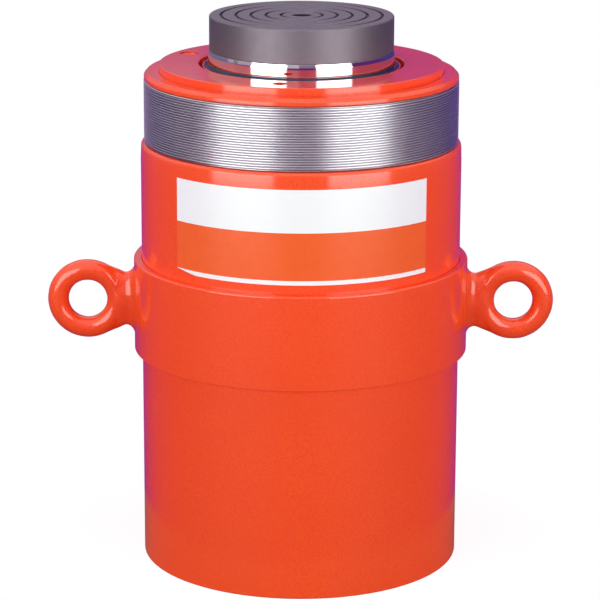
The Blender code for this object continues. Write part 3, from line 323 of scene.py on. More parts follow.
def saddle_material():
    """Phosphated steel, matte and a little mottled, with fine turning marks and painted shade in each groove
    and the centre hole.
    """
    material, tree, shader = start_material("phosphated_steel", metallic=0.88)
    mottle = ranged(tree, noise_value(tree, 60.0, 6.0), 0.0, 1.0)
    colour = mixed(tree, mottle, (0.172, 0.157, 0.178, 1.0), (0.192, 0.176, 0.196, 1.0))
    grain = ranged(tree, noise_value(tree, 1500.0, 2.0), 0.0, 0.4)
    colour = mixed(tree, grain, colour, (0.135, 0.122, 0.142, 1.0))
    # Painted shade: nearly black below the top face and inside the rim, so each groove and the centre hole
    # look shadowed
    height = add_node(tree, "ShaderNodeSeparateXYZ", {0: object_position(tree)}).outputs["Z"]
    sunk = ranged(tree, height, 1.0, 0.0, SADDLE_TOP - 0.0012, SADDLE_TOP - 0.0003)
    within = ranged(tree, axis_distance(tree), 0.8, 0.0, SADDLE_RADIUS - 0.008, SADDLE_RADIUS - 0.007)
    saddle_groove_shade = computed(tree, "MULTIPLY", sunk, within)
    colour = mixed(tree, saddle_groove_shade, colour, (0.020, 0.016, 0.026, 1.0))
    tree.links.new(colour, shader.inputs["Base Color"])
    rough = ranged(tree, noise_value(tree, 90.0, 4.0), 0.50, 0.56)
    tree.links.new(rough, shader.inputs["Roughness"])
    turning = add_node(
        tree,
        "ShaderNodeTexWave",
        {"Vector": object_position(tree), "Scale": 260.0, "Distortion": 1.5, "Detail": 2.0},
        wave_type="RINGS",
        rings_direction="Z",
    ).outputs[1]
    tree.links.new(bumped(tree, turning, 0.05, 0.00004), shader.inputs["Normal"])
    return material


def plain_material(name, dark, light, rough, metallic=0.0, scale=80.0, bump=0.1):
    """A material with a noise between two shades, a roughness range and a fine bump."""
    material, tree, shader = start_material(name, metallic=metallic)
    drift = ranged(tree, noise_value(tree, scale, 4.0), 0.0, 1.0)
    tree.links.new(mixed(tree, drift, (*dark, 1.0), (*light, 1.0)), shader.inputs["Base Color"])
    tree.links.new(ranged(tree, noise_value(tree, scale * 3.0, 3.0), *rough), shader.inputs["Roughness"])
    grain = noise_value(tree, scale * 10.0, 2.0)
    tree.links.new(bumped(tree, grain, bump, 0.00005), shader.inputs["Normal"])
    return material


PAINT = paint_material()
THREAD = thread_material()
CHROME = chrome_material()
SADDLE = saddle_material()
RUBBER = plain_material("nitrile_rubber", (0.012, 0.012, 0.014), (0.03, 0.03, 0.032), (0.5, 0.7))
WIPER = plain_material(
    "wiper_polyurethane", (0.012, 0.022, 0.055), (0.022, 0.038, 0.08), (0.12, 0.2), bump=0.03
)
BRONZE = plain_material("bearing_bronze", (0.42, 0.24, 0.09), (0.60, 0.37, 0.15), (0.3, 0.45), 1.0)
BACKUP = plain_material("backup_plastic", (0.72, 0.70, 0.64), (0.82, 0.80, 0.75), (0.4, 0.55))
MACHINED = plain_material("machined_steel", (0.48, 0.48, 0.50), (0.60, 0.60, 0.62), (0.25, 0.38), 1.0)
ZINC = plain_material("zinc_plate", (0.55, 0.53, 0.44), (0.68, 0.66, 0.58), (0.22, 0.34), 1.0)
WIRE = plain_material("spring_wire", (0.33, 0.33, 0.35), (0.46, 0.46, 0.48), (0.25, 0.4), 1.0)
LABEL_WHITE = plain_material("label_white", (0.87, 0.89, 0.895), (0.89, 0.905, 0.91), (0.28, 0.32), bump=0.01)
LABEL_ORANGE = plain_material(
    "label_orange", (0.86, 0.115, 0.022), (0.90, 0.13, 0.027), (0.2, 0.26), bump=0.02
)

SLOT_MATERIALS = {
    "orange_paint": PAINT,
    "machined_steel": MACHINED,
    "chrome": CHROME,
    "saddle_steel": SADDLE,
    "seal_rubber": RUBBER,
    "wiper_polyurethane": WIPER,
    "bearing_bronze": BRONZE,
    "backup_plastic": BACKUP,
    "coupler_steel": ZINC,
    "spring_steel": WIRE,
}


def dress_frame():
    """Gives each CAD node the material of its slot in the record."""
    for row in frame["record"]["subparts"]:
        node = frame["nodes"][row["node"]]
        for slot in node.material_slots:
            slot.material = SLOT_MATERIALS[row["material_slot"]]


def rounded(points, segments=ARC_POINTS):
    """A profile whose points may carry a corner radius as a third value, with those corners as arcs."""
    result = []
    for i, point in enumerate(points):
        if len(point) < 3:
            result.append(point)
            continue
        here = Vector(point[:2])
        towards = (Vector(points[i - 1][:2]) - here).normalized()
        onwards = (Vector(points[(i + 1) % len(points)][:2]) - here).normalized()
        half = towards.angle(onwards) / 2
        centre = here + (towards + onwards).normalized() * (point[2] / math.sin(half))
        first = here + towards * (point[2] / math.tan(half)) - centre
        last = here + onwards * (point[2] / math.tan(half)) - centre
        begin = math.atan2(first.y, first.x)
        sweep = math.remainder(math.atan2(last.y, last.x) - begin, math.tau)
        for k in range(segments + 1):
            angle = begin + sweep * k / segments
            result.append((centre.x + point[2] * math.cos(angle), centre.y + point[2] * math.sin(angle)))
    return result


def finish_mesh(name, shape, material=None, angle=SHARP_ANGLE):
    """Turns a bmesh into an object with smooth sides and sharp corners."""
    bmesh.ops.recalc_face_normals(shape, faces=shape.faces)
    mesh = bpy.data.meshes.new(name)
    shape.to_mesh(mesh)
    shape.free()
    mesh.shade_smooth()
    mesh.set_sharp_from_angle(angle=math.radians(angle))
    item = bpy.data.objects.new(name, mesh)
    bpy.context.scene.collection.objects.link(item)
    if material:
        mesh.materials.append(material)
    return item


def turned(name, points, steps, material=None, closed=True):
    """Turns a profile of (radius, height) points about Z into a closed mesh."""
    profile = rounded(points)
    shape = bmesh.new()
    columns = []
    poles = [shape.verts.new((0.0, 0.0, z)) if r < 1e-9 else None for r, z in profile]
    for i in range(steps):
        angle = math.tau * i / steps
        c, s = math.cos(angle), math.sin(angle)
        columns.append([poles[k] or shape.verts.new((r * c, r * s, z)) for k, (r, z) in enumerate(profile)])
    last = len(profile) if closed else len(profile) - 1
    for i in range(steps):
        here, following = columns[i], columns[(i + 1) % steps]
        for k in range(last):
            upper = (k + 1) % len(profile)
            corners = []
            for vertex in (here[k], following[k], following[upper], here[upper]):
                if vertex not in corners:
                    corners.append(vertex)
            shape.faces.new(corners)
    return finish_mesh(name, shape, material)


def prism(name, radius, bottom, top, sides=SMALL_STEPS, matrix=None):
    """A regular prism along the matrix's Z, used as a cutter."""
    shape = bmesh.new()
    bmesh.ops.create_cone(
        shape,
        cap_ends=True,
        segments=sides,
        radius1=radius,
        radius2=radius,
        depth=top - bottom,
        matrix=(matrix or Matrix()) @ Matrix.Translation((0.0, 0.0, (top + bottom) / 2)),
    )
    return finish_mesh(name, shape)


def apply_modifiers(item, material=None, angle=SHARP_ANGLE):
    """Replaces an object's mesh by its evaluated one."""
    bpy.context.view_layer.update()
    mesh = bpy.data.meshes.new_from_object(item.evaluated_get(bpy.context.evaluated_depsgraph_get()))
    item.modifiers.clear()
    item.data = mesh
    mesh.shade_smooth()
    mesh.set_sharp_from_angle(angle=math.radians(angle))
    if material:
        mesh.materials.clear()
        mesh.materials.append(material)


def combine(item, tools, operation="DIFFERENCE", solver="EXACT"):
    """Applies Booleans with the tools, and deletes them."""
    material = item.data.materials[0] if item.data.materials else None
    for tool in tools:
        modifier = item.modifiers.new("combine", "BOOLEAN")
        modifier.operation = operation
        modifier.solver = solver
        modifier.object = tool
    apply_modifiers(item, material)
    for tool in tools:
        bpy.data.objects.remove(tool)


def dressed(item, body, slot, *nodes):
    """Puts a piece on its body and hides the CAD nodes that it stands for; slot is not used."""
    normals = item.modifiers.new("normals", "WEIGHTED_NORMAL")
    normals.keep_sharp = True
    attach(item, body)
    if nodes:
        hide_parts(*nodes)


def radial(azimuth, height, distance=0.0):
    """Places local Z along a horizontal radius of the cylinder, pointing outwards."""
    angle = math.radians(azimuth)
    turn = Matrix.Rotation(angle, 4, "Z") @ Matrix.Rotation(math.radians(90.0), 4, "Y")
    direction = Vector((math.cos(angle), math.sin(angle), 0.0))
    return Matrix.Translation(direction * distance + Vector((0.0, 0.0, height))) @ turn


def polar(radius, degrees, height=0.0):
    """A point given by its radius and azimuth."""
    angle = math.radians(degrees)
    return Vector((radius * math.cos(angle), radius * math.sin(angle), height))


def make_barrel():
    """The painted barrel with its spot faces at the back."""
    profile = [
        (0.0, FLOOR),
        (BORE_RADIUS, FLOOR),
        (BORE_RADIUS, BARREL_STEP),
        (MOUTH_RADIUS, BARREL_STEP),
        (MOUTH_RADIUS, BARREL_TOP),
        (COLLAR_RADIUS - 0.0038, BARREL_TOP, 0.0012),
        (COLLAR_RADIUS, BARREL_TOP - 0.0042, 0.0015),
        (COLLAR_RADIUS, THREAD_TOP, 0.0006),
        (THREAD_ROOT_RADIUS - 0.001, THREAD_TOP - 0.0004),
        (THREAD_ROOT_RADIUS - 0.001, THREAD_BOTTOM),
        (BODY_RADIUS - SHOULDER_LEAN, THREAD_BOTTOM, 0.0052),
        (BODY_RADIUS, THREAD_BOTTOM - SHOULDER_HEIGHT, 0.09),
        (BODY_RADIUS, 0.0, 0.002),
        (0.0, 0.0),
    ]
    barrel = turned("painted_barrel", profile, BODY_STEPS, PAINT, closed=False)
    seats = [
        prism(f"{name}_seat", PORT_SEAT_RADIUS, 0.0, 0.01, matrix=radial(90.0, height, PORT_FACE))
        for name, height in PORT_HEIGHTS.items()
    ]
    place = radial(RELIEF_AZIMUTH, PORT_HEIGHTS["retract"], PORT_FACE)
    seats.append(prism("relief_seat", RELIEF_SEAT_RADIUS, 0.0, 0.01, matrix=place))
    combine(barrel, seats)
    dressed(barrel, "cylinder", "orange_paint", "barrel")


# One turn of a thread: share of the pitch, share of the depth
THREAD_SHAPE = (
    (0.0, 0.0),
    (0.08, 0.0),
    (0.28, 0.80),
    (0.36, 0.97),
    (0.44, 1.0),
    (0.64, 1.0),
    (0.72, 0.97),
    (0.80, 0.80),
)


def threaded_ring(name, inner, root, major, bottom, top, pitch, steps, material):
    """A ring with a screw thread outside: a helical strip, closed by two flat ends and a bore."""
    turns = math.ceil((top - bottom) / pitch) + 1
    points = []
    for turn in range(-1, turns):
        for phase, height in THREAD_SHAPE:
            points.append((pitch * (turn + phase), height))
    shape = bmesh.new()
    columns = []
    for i in range(steps + 1):
        angle = math.tau * (i % steps) / steps
        c, s = math.cos(angle), math.sin(angle)
        column = []
        for offset, height in points:
            z = min(max(bottom + offset + pitch * i / steps, bottom), top)
            fade = max(0.0, min(1.0, 2 * (z - bottom) / pitch, 2 * (top - z) / pitch))
            r = root + (major - root) * height * fade
            column.append(shape.verts.new((r * c, r * s, z)))
        ends = [shape.verts.new((inner * c, inner * s, z)) for z in (bottom, top)]
        columns.append([ends[0], *column, ends[1]])
    for here, following in zip(columns, columns[1:]):
        count = len(here)
        for k in range(count):
            upper = (k + 1) % count
            shape.faces.new((here[k], following[k], following[upper], here[upper]))
    bmesh.ops.remove_doubles(shape, verts=shape.verts, dist=2e-6)
    bmesh.ops.dissolve_degenerate(shape, edges=shape.edges, dist=2e-6)
    return finish_mesh(name, shape, material, 40.0)


def make_thread():
    """The collar's screw thread."""
    thread = threaded_ring(
        "collar_thread",
        THREAD_ROOT_RADIUS - 0.0009,
        THREAD_ROOT_RADIUS,
        THREAD_MAJOR_RADIUS,
        THREAD_BOTTOM + 0.0002,
        THREAD_TOP - 0.0006,
        THREAD_PITCH,
        BODY_STEPS,
        THREAD,
    )
    dressed(thread, "cylinder", "machined_steel")


def make_band():
    """The lifting band, rounded at its top edge and sharp at its lower one."""
    inner = BODY_RADIUS + GAP
    profile = [
        (inner, BAND_BOTTOM),
        (inner, BAND_TOP, 0.0008),
        (BAND_RADIUS, BAND_TOP, 0.0028),
        (BAND_RADIUS, BAND_BOTTOM, 0.0007),
    ]
    band = turned("painted_lifting_band", profile, BODY_STEPS, PAINT)
    dressed(band, "cylinder", "orange_paint", "lifting_band")


# Unevenness of the forged and welded eyes
EYE_FORGED_RELIEF = 0.00022
EYE_WELD_RELIEF = 0.0005
EYE_WELD_MIDDLE = 0.011
EYE_WELD_REACH = 0.020
EYE_RELIEF_SCALE = 75.0


def neck_tangent():
    """Distance from the band and half height at which the neck's straight side meets the ring."""
    outer = EYE_RING_RADIUS + EYE_STOCK_RADIUS
    run = EYE_REACH - EYE_NECK_LENGTH
    length = math.hypot(run, EYE_NECK_HEIGHT)
    lean = math.atan2(EYE_NECK_HEIGHT, run) + math.acos(min(1.0, outer / length))
    return EYE_REACH - outer * math.cos(lean), outer * math.sin(lean)


def fillet(distance, radius):
    """How far a circular fillet stands out at a distance from the face that it meets."""
    run = radius - min(max(distance, 0.0), radius)
    return radius - math.sqrt(radius**2 - run**2)


def neck_section(distance):
    """Half height and half thickness of an eye's neck at a distance from the band."""
    touch, touch_height = neck_tangent()
    rise = fillet(distance, EYE_FLARE_HEIGHT - EYE_NECK_HEIGHT)
    spread = fillet(distance + EYE_FLARE_SINK, EYE_FLARE_THICKNESS - EYE_NECK_THICKNESS)
    share = min(1.0, max(0.0, (distance - EYE_NECK_LENGTH) / (touch - EYE_NECK_LENGTH)))
    thickness = EYE_NECK_THICKNESS + (EYE_STOCK_RADIUS * 1.02 - EYE_NECK_THICKNESS) * share
    if distance <= touch:
        return EYE_NECK_HEIGHT + (touch_height - EYE_NECK_HEIGHT) * share + rise, thickness + spread
    radius = math.hypot(EYE_REACH - touch, touch_height) - GAP
    return math.sqrt(radius**2 - (EYE_REACH - distance) ** 2), thickness


def neck(name, stations=36, sides=40):
    """The eye's neck, from inside the band's face to inside the ring."""
    start = -0.006
    end = (neck_tangent()[0] + EYE_REACH) / 2
    shape = bmesh.new()
    rings = []
    for i in range(stations):
        distance = start + (end - start) * i / (stations - 1)
        height, thickness = neck_section(distance)
        loop = []
        for k in range(sides):
            angle = math.tau * k / sides
            loop.append(shape.verts.new((distance, thickness * math.cos(angle), height * math.sin(angle))))
        rings.append(loop)
    for lower, upper in zip(rings, rings[1:]):
        for k in range(sides):
            following = (k + 1) % sides
            shape.faces.new((lower[k], lower[following], upper[following], upper[k]))
    shape.faces.new(rings[0])
    shape.faces.new(list(reversed(rings[-1])))
    return finish_mesh(name, shape, PAINT)


def make_eye(name, side, node):
    """A forged eye: ring and neck melted together, seated on the band."""
    eye = neck(name)
    facing = Matrix.Translation((EYE_REACH, 0.0, 0.0)) @ Matrix.Rotation(math.radians(90.0), 4, "X")
    inside = EYE_STOCK_RADIUS - 0.001
    waist = [(0.0, 2 * EYE_STOCK_RADIUS)]
    arc = [(EYE_RING_RADIUS - inside * math.cos(a), inside * math.sin(a))
           for a in (math.radians(75.0 - 12.5 * k) for k in range(13))]
    waist += [(arc[0][0], 2 * EYE_STOCK_RADIUS), *arc, (arc[-1][0], -2 * EYE_STOCK_RADIUS)]
    waist.append((0.0, -2 * EYE_STOCK_RADIUS))
    hole = turned(f"{name}_hole", waist, 64, closed=False)
    hole.data.transform(facing)
    combine(eye, [hole])
    ring = [(EYE_RING_RADIUS + EYE_STOCK_RADIUS * math.cos(a), EYE_STOCK_RADIUS * math.sin(a))
            for a in (math.tau * k / 32 for k in range(32))]
    hoop = turned(f"{name}_hoop", ring, 96)
    hoop.data.transform(facing)
    combine(eye, [hoop], "UNION")
    remesh = eye.modifiers.new("melt", "REMESH")
    remesh.mode = "VOXEL"
    remesh.voxel_size = 0.0012
    smooth = eye.modifiers.new("flow", "SMOOTH")
    smooth.factor = 0.6
    smooth.iterations = 12
    turn = Matrix.Rotation(0.0 if side > 0 else math.pi, 4, "Z")
    apply_modifiers(eye, PAINT)
    normals = [vertex.normal.copy() for vertex in eye.data.vertices]
    for vertex, normal in zip(eye.data.vertices, normals):
        near = max(0.0, 1.0 - abs(vertex.co.x - EYE_WELD_MIDDLE) / EYE_WELD_REACH)
        size = EYE_FORGED_RELIEF + EYE_WELD_RELIEF * near
        vertex.co += normal * size * noise.noise(vertex.co * EYE_RELIEF_SCALE + Vector((side, 0, 0)))
    outwards = Matrix.Translation((BAND_RADIUS, 0.0, 0.0))
    eye.data.transform(Matrix.Translation((0.0, 0.0, EYE_HEIGHT)) @ turn @ outwards)
    seat = prism(f"{name}_seat", BAND_RADIUS - 0.0005, BAND_BOTTOM - 0.05, BAND_TOP + 0.05, BODY_STEPS)
    combine(eye, [seat], solver="MANIFOLD")
    dressed(eye, "cylinder", "orange_paint", node)


def make_nut():
    """The gland nut with its spanner holes and the counterbore of its lock screw."""
    profile = [
        (NUT_BORE_RADIUS, NUT_BOTTOM),
        (NUT_BORE_RADIUS, NUT_TOP, 0.0012),
        (NUT_RADIUS, NUT_TOP, 0.0013),
        (NUT_RADIUS, NUT_BOTTOM),
    ]
    nut = turned("painted_gland_nut", profile, BODY_STEPS, PAINT)
    tools = []
    above = NUT_TOP + TOOL_REACH
    floor = NUT_TOP - SPANNER_HOLE_DEPTH
    for number, angle in enumerate(SPANNER_ANGLES):
        place = Matrix.Translation(polar(SPANNER_CIRCLE_RADIUS, angle))
        tools.append(prism(f"spanner_{number}", SPANNER_HOLE_RADIUS, floor, above, matrix=place))
    place = Matrix.Translation(polar(LOCK_SCREW_CIRCLE_RADIUS, LOCK_SCREW_ANGLE))
    head_bottom = NUT_TOP - LOCK_SCREW_SUNK - LOCK_SCREW_HEAD_HEIGHT
    tools.append(prism("lock", LOCK_SCREW_HEAD_RADIUS + 2 * GAP, head_bottom - GAP, above, matrix=place))
    combine(nut, tools)
    dressed(nut, "cylinder", "orange_paint", "gland_nut")

    head_top = head_bottom + LOCK_SCREW_HEAD_HEIGHT
    profile = [
        (0.0, head_top - LOCK_SCREW_DISH),
        (LOCK_SCREW_HEAD_RADIUS * 0.55, head_top - LOCK_SCREW_DISH, 0.003),
        (LOCK_SCREW_HEAD_RADIUS * 0.80, head_top, 0.0012),
        (LOCK_SCREW_HEAD_RADIUS, head_top, 0.0008),
        (LOCK_SCREW_HEAD_RADIUS, head_bottom),
        (0.0, head_bottom),
    ]
    screw = turned("painted_lock_screw", profile, SMALL_STEPS, PAINT, closed=False)
    screw.data.transform(place)
    dressed(screw, "cylinder", "orange_paint", "gland_lock_screw")


def make_gland():
    """The gland's painted top ring and the wiper with its lip."""
    profile = [
        (WIPER_RADIUS + GAP, GLAND_TOP - WIPER_HEIGHT),
        (WIPER_RADIUS + GAP, GLAND_TOP, 0.0004),
        (GLAND_NECK_RADIUS, GLAND_TOP, 0.0006),
        (GLAND_NECK_RADIUS, NUT_BOTTOM + 0.001),
        (MOUTH_RADIUS - 0.0008, NUT_BOTTOM - GAP),
        (BORE_RADIUS - 0.0008, BARREL_STEP - 0.01),
        (ROD_RADIUS + 0.0008, BARREL_STEP - 0.01),
        (ROD_RADIUS + 0.0008, GLAND_TOP - WIPER_HEIGHT),
    ]
    gland = turned("painted_gland", profile, ROD_STEPS, PAINT)
    dressed(gland, "cylinder", "orange_paint", "gland")
    inner = ROD_RADIUS + 0.0004
    profile = [
        (inner, GLAND_TOP - WIPER_HEIGHT + GAP),
        (inner, GLAND_TOP + WIPER_LIP_HEIGHT),
        (inner + 0.0009, GLAND_TOP + WIPER_LIP_HEIGHT, 0.0003),
        (WIPER_LIP_RADIUS, GLAND_TOP - WIPER_VALLEY, 0.0006),
        (WIPER_RADIUS - 0.0012, GLAND_TOP + WIPER_BEAD, 0.0003),
        (WIPER_RADIUS, GLAND_TOP + WIPER_BEAD, 0.0005),
        (WIPER_RADIUS, GLAND_TOP - WIPER_HEIGHT + GAP),
    ]
    wiper = turned("wiper_ring", profile, ROD_STEPS, WIPER)
    dressed(wiper, "cylinder", "wiper_polyurethane", "rod_wiper")


def make_rod():
    """The chrome-plated rod with its chamfer under the saddle."""
    profile = [
        (0.0, ROD_TOP - STEM_BORE_DEPTH),
        (STEM_BORE_RADIUS, ROD_TOP - STEM_BORE_DEPTH),
        (STEM_BORE_RADIUS, ROD_TOP, 0.001),
        (ROD_RADIUS - ROD_CHAMFER_RADIAL, ROD_TOP, 0.0003),
        (ROD_RADIUS, ROD_TOP - ROD_CHAMFER_HEIGHT, 0.004),
        (ROD_RADIUS, ROD_SHOULDER),
        (SPIGOT_RADIUS, ROD_SHOULDER),
        (SPIGOT_RADIUS, ROD_FOOT, 0.002),
        (0.0, ROD_FOOT),
    ]
    rod = turned("chromed_rod", profile, ROD_STEPS, CHROME, closed=False)
    dressed(rod, "rod", "chrome", "piston_rod")


def make_saddle():
    """The grooved saddle with its centre hole and stem."""
    profile = [
        (0.0, SADDLE_TOP - SADDLE_HOLE_DEPTH),
        (SADDLE_HOLE_RADIUS, SADDLE_TOP - SADDLE_HOLE_DEPTH),
        (SADDLE_HOLE_RADIUS, SADDLE_TOP - 0.0015),
        (SADDLE_HOLE_RADIUS + 0.0015, SADDLE_TOP, 0.0004),
    ]
    for i in range(SADDLE_GROOVES):
        middle = SADDLE_FIRST_GROOVE_RADIUS + i * SADDLE_GROOVE_PITCH
        profile += [
            (middle - SADDLE_GROOVE_WIDTH / 2, SADDLE_TOP, 0.0002),
            (middle - SADDLE_GROOVE_WIDTH / 3, SADDLE_TOP - SADDLE_GROOVE_DEPTH, 0.0004),
            (middle + SADDLE_GROOVE_WIDTH / 3, SADDLE_TOP - SADDLE_GROOVE_DEPTH, 0.0004),
            (middle + SADDLE_GROOVE_WIDTH / 2, SADDLE_TOP, 0.0002),
        ]
    profile += [
        (SADDLE_RADIUS - 0.0010, SADDLE_TOP, 0.0006),
        (SADDLE_RADIUS, SADDLE_TOP - 0.0014, 0.0008),
        (SADDLE_RADIUS, SADDLE_BOTTOM, 0.0006),
        (SADDLE_STEM_RADIUS, SADDLE_BOTTOM),
        (SADDLE_STEM_RADIUS, SADDLE_BOTTOM - SADDLE_STEM_LENGTH),
        (0.0, SADDLE_BOTTOM - SADDLE_STEM_LENGTH),
    ]
    saddle = turned("grooved_saddle", profile, ROD_STEPS, SADDLE, closed=False)
    nick = radial(SADDLE_NICK_ANGLE, SADDLE_TOP + 0.0004, SADDLE_RADIUS - 0.0035)
    combine(saddle, [prism("nick", 0.0019, 0.0, 0.01, 12, nick)])
    dressed(saddle, "saddle", "saddle_steel", "saddle")


# Specks of paint on the thread: azimuth from the front, height, half width
SPECKS = (
    (-33.1, 0.5661, 0.0016),
    (-42.1, 0.5645, 0.0008),
    (-23.2, 0.6318, 0.0009),
    (-19.5, 0.6312, 0.0011),
    (37.0, 0.5990, 0.0007),
    (-67.5, 0.5535, 0.0014),
    (-68.7, 0.5560, 0.0016),
    (-69.9, 0.5525, 0.0012),
)


def make_specks():
    """Small drops of paint that landed on the collar's thread."""
    shape = bmesh.new()
    for azimuth, height, size in SPECKS:
        place = radial(azimuth - 90.0, height, THREAD_MAJOR_RADIUS - 0.0001)
        flat = Matrix.Diagonal((size * 0.55, size, 0.0004, 1.0))
        bmesh.ops.create_uvsphere(shape, u_segments=16, v_segments=8, radius=1.0, matrix=place @ flat)
    specks = finish_mesh("paint_specks", shape, PAINT, 60.0)
    dressed(specks, "cylinder", "orange_paint")


def hexagon(name, corner_radius, bottom, top):
    """A hexagon with chamfered corners, its corners on local X."""
    flat = corner_radius * math.cos(math.radians(30.0))
    rise = (corner_radius + GAP - flat) * math.tan(math.radians(30.0))
    blank = [(0.0, top), (corner_radius, top), (corner_radius, bottom), (0.0, bottom)]
    item = turned(name, blank, 6, closed=False)
    outline = [
        (0.0, top + GAP / 10),
        (flat, top + GAP / 10),
        (corner_radius + GAP, top - rise),
        (corner_radius + GAP, bottom + rise),
        (flat, bottom - GAP / 10),
        (0.0, bottom - GAP / 10),
    ]
    combine(item, [turned(f"{name}_chamfer", outline, SMALL_STEPS, closed=False)], "INTERSECT")
    return item


def coil(name, radius, wire, bottom, top, turns, material):
    """A round wire wound along local Z."""
    shape = bmesh.new()
    count = turns * COIL_STEPS
    rings = []
    for step in range(count + 1):
        turn = math.tau * step / COIL_STEPS
        outwards = Vector((math.cos(turn), math.sin(turn), 0.0))
        height = bottom + wire + (top - bottom - 2 * wire) * step / count
        middle = outwards * radius + Vector((0.0, 0.0, height))
        ring = []
        for side in range(COIL_SIDES):
            angle = math.tau * side / COIL_SIDES
            offset = outwards * math.cos(angle) + Vector((0.0, 0.0, math.sin(angle)))
            ring.append(shape.verts.new(middle + wire * offset))
        rings.append(ring)
    for lower, upper in zip(rings, rings[1:]):
        for side in range(COIL_SIDES):
            following = (side + 1) % COIL_SIDES
            shape.faces.new((lower[side], upper[side], upper[following], lower[following]))
    shape.faces.new(rings[0])
    shape.faces.new(rings[-1])
    return finish_mesh(name, shape, material)


def make_coupler(name):
    """The half coupler of a port: plated body with its threaded nose, mouth seal and poppet."""
    place = radial(90.0, PORT_HEIGHTS[name], PORT_FACE)
    nose = COUPLER_HEX_LENGTH + COUPLER_NOSE_LENGTH
    seat_top = nose - COUPLER_SOCKET_DEPTH
    seat_bottom = seat_top - COUPLER_SEAT_THICKNESS
    seal_middle = nose - COUPLER_SEAL_FROM_MOUTH
    thread_bottom = COUPLER_HEX_LENGTH + COUPLER_THREAD_RELIEF
    thread_top = nose - COUPLER_THREAD_RELIEF
    neck_radius = COUPLER_NOSE_ROOT_RADIUS - GAP
    groove_radius = COUPLER_SOCKET_RADIUS + COUPLER_GROOVE_DEPTH
    profile = [
        (COUPLER_BORE_RADIUS, -COUPLER_NIPPLE_LENGTH),
        (COUPLER_BORE_RADIUS, seat_bottom),
        (COUPLER_SEAT_HOLE_RADIUS, seat_bottom),
        (COUPLER_SEAT_HOLE_RADIUS, seat_top, 0.0005),
        (COUPLER_SOCKET_RADIUS, seat_top),
        (COUPLER_SOCKET_RADIUS, seal_middle - COUPLER_GROOVE_HALF_WIDTH),
        (groove_radius, seal_middle - COUPLER_GROOVE_HALF_WIDTH),
        (groove_radius, seal_middle + COUPLER_GROOVE_HALF_WIDTH),
        (COUPLER_SOCKET_RADIUS, seal_middle + COUPLER_GROOVE_HALF_WIDTH),
        (COUPLER_SOCKET_RADIUS, nose, 0.0006),
        (COUPLER_NOSE_RADIUS - 0.0012, nose, 0.0004),
        (COUPLER_NOSE_RADIUS, nose - 0.0012, 0.0004),
        (COUPLER_NOSE_RADIUS, thread_top + GAP),
        (neck_radius, thread_top + GAP),
        (neck_radius, thread_bottom - GAP),
        (COUPLER_NOSE_RADIUS, thread_bottom - GAP),
        (COUPLER_NOSE_RADIUS, GAP, 0.0005),
        (COUPLER_NIPPLE_RADIUS, GAP),
        (COUPLER_NIPPLE_RADIUS, -COUPLER_NIPPLE_LENGTH, 0.001),
    ]
    body = turned(f"{name}_plated_coupler", profile, SMALL_STEPS, ZINC)
    collar = hexagon(f"{name}_hexagon", COUPLER_HEX_RADIUS, GAP, COUPLER_HEX_LENGTH)
    core = prism(f"{name}_core", (COUPLER_BORE_RADIUS + COUPLER_NIPPLE_RADIUS) / 2, -0.01, nose)
    combine(collar, [core])
    combine(body, [collar], "UNION")
    body.data.transform(place)
    dressed(body, "cylinder", "coupler_steel", f"{name}_coupler_body")

    thread = threaded_ring(
        f"{name}_nose_thread",
        neck_radius + GAP / 3,
        COUPLER_NOSE_ROOT_RADIUS,
        COUPLER_NOSE_RADIUS,
        thread_bottom,
        thread_top,
        COUPLER_NOSE_PITCH,
        SMALL_STEPS,
        ZINC,
    )
    thread.data.transform(place)
    dressed(thread, "cylinder", "coupler_steel")

    section = COUPLER_GROOVE_DEPTH / 2
    ring = [(COUPLER_SOCKET_RADIUS + section * (0.85 + math.cos(a)), seal_middle + section * math.sin(a))
            for a in (math.tau * k / 12 for k in range(12))]
    seal = turned(f"{name}_mouth_seal", ring, SMALL_STEPS, RUBBER)
    seal.data.transform(place)
    dressed(seal, "cylinder", "seal_rubber", f"{name}_coupler_seal")

    poppet_radius = COUPLER_BORE_RADIUS - GAP
    poppet_top = seat_bottom - GAP
    profile = [
        (0.0, seat_top + POPPET_PROUD),
        (POPPET_NOSE_RADIUS, seat_top + POPPET_PROUD, 0.0022),
        (POPPET_NOSE_RADIUS, poppet_top),
        (poppet_radius, poppet_top, 0.0006),
        (poppet_radius, poppet_top - POPPET_LENGTH),
        (0.0, poppet_top - POPPET_LENGTH),
    ]
    poppet = turned(f"{name}_steel_poppet", profile, SMALL_STEPS, MACHINED, closed=False)
    poppet.data.transform(place)
    dressed(poppet, f"{name}_poppet", "machined_steel", f"{name}_coupler_poppet")

    guide_top = 2 * COUPLER_GUIDE_THICKNESS - COUPLER_NIPPLE_LENGTH
    poppet_bottom = poppet_top - POPPET_LENGTH
    spring = coil(
        f"{name}_wound_spring",
        COUPLER_SPRING_RADIUS,
        COUPLER_SPRING_WIRE,
        guide_top + GAP,
        poppet_bottom - GAP,
        COUPLER_SPRING_TURNS,
        WIRE,
    )
    spring.data.transform(place)
    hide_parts(f"{name}_coupler_spring")
    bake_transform(spring)


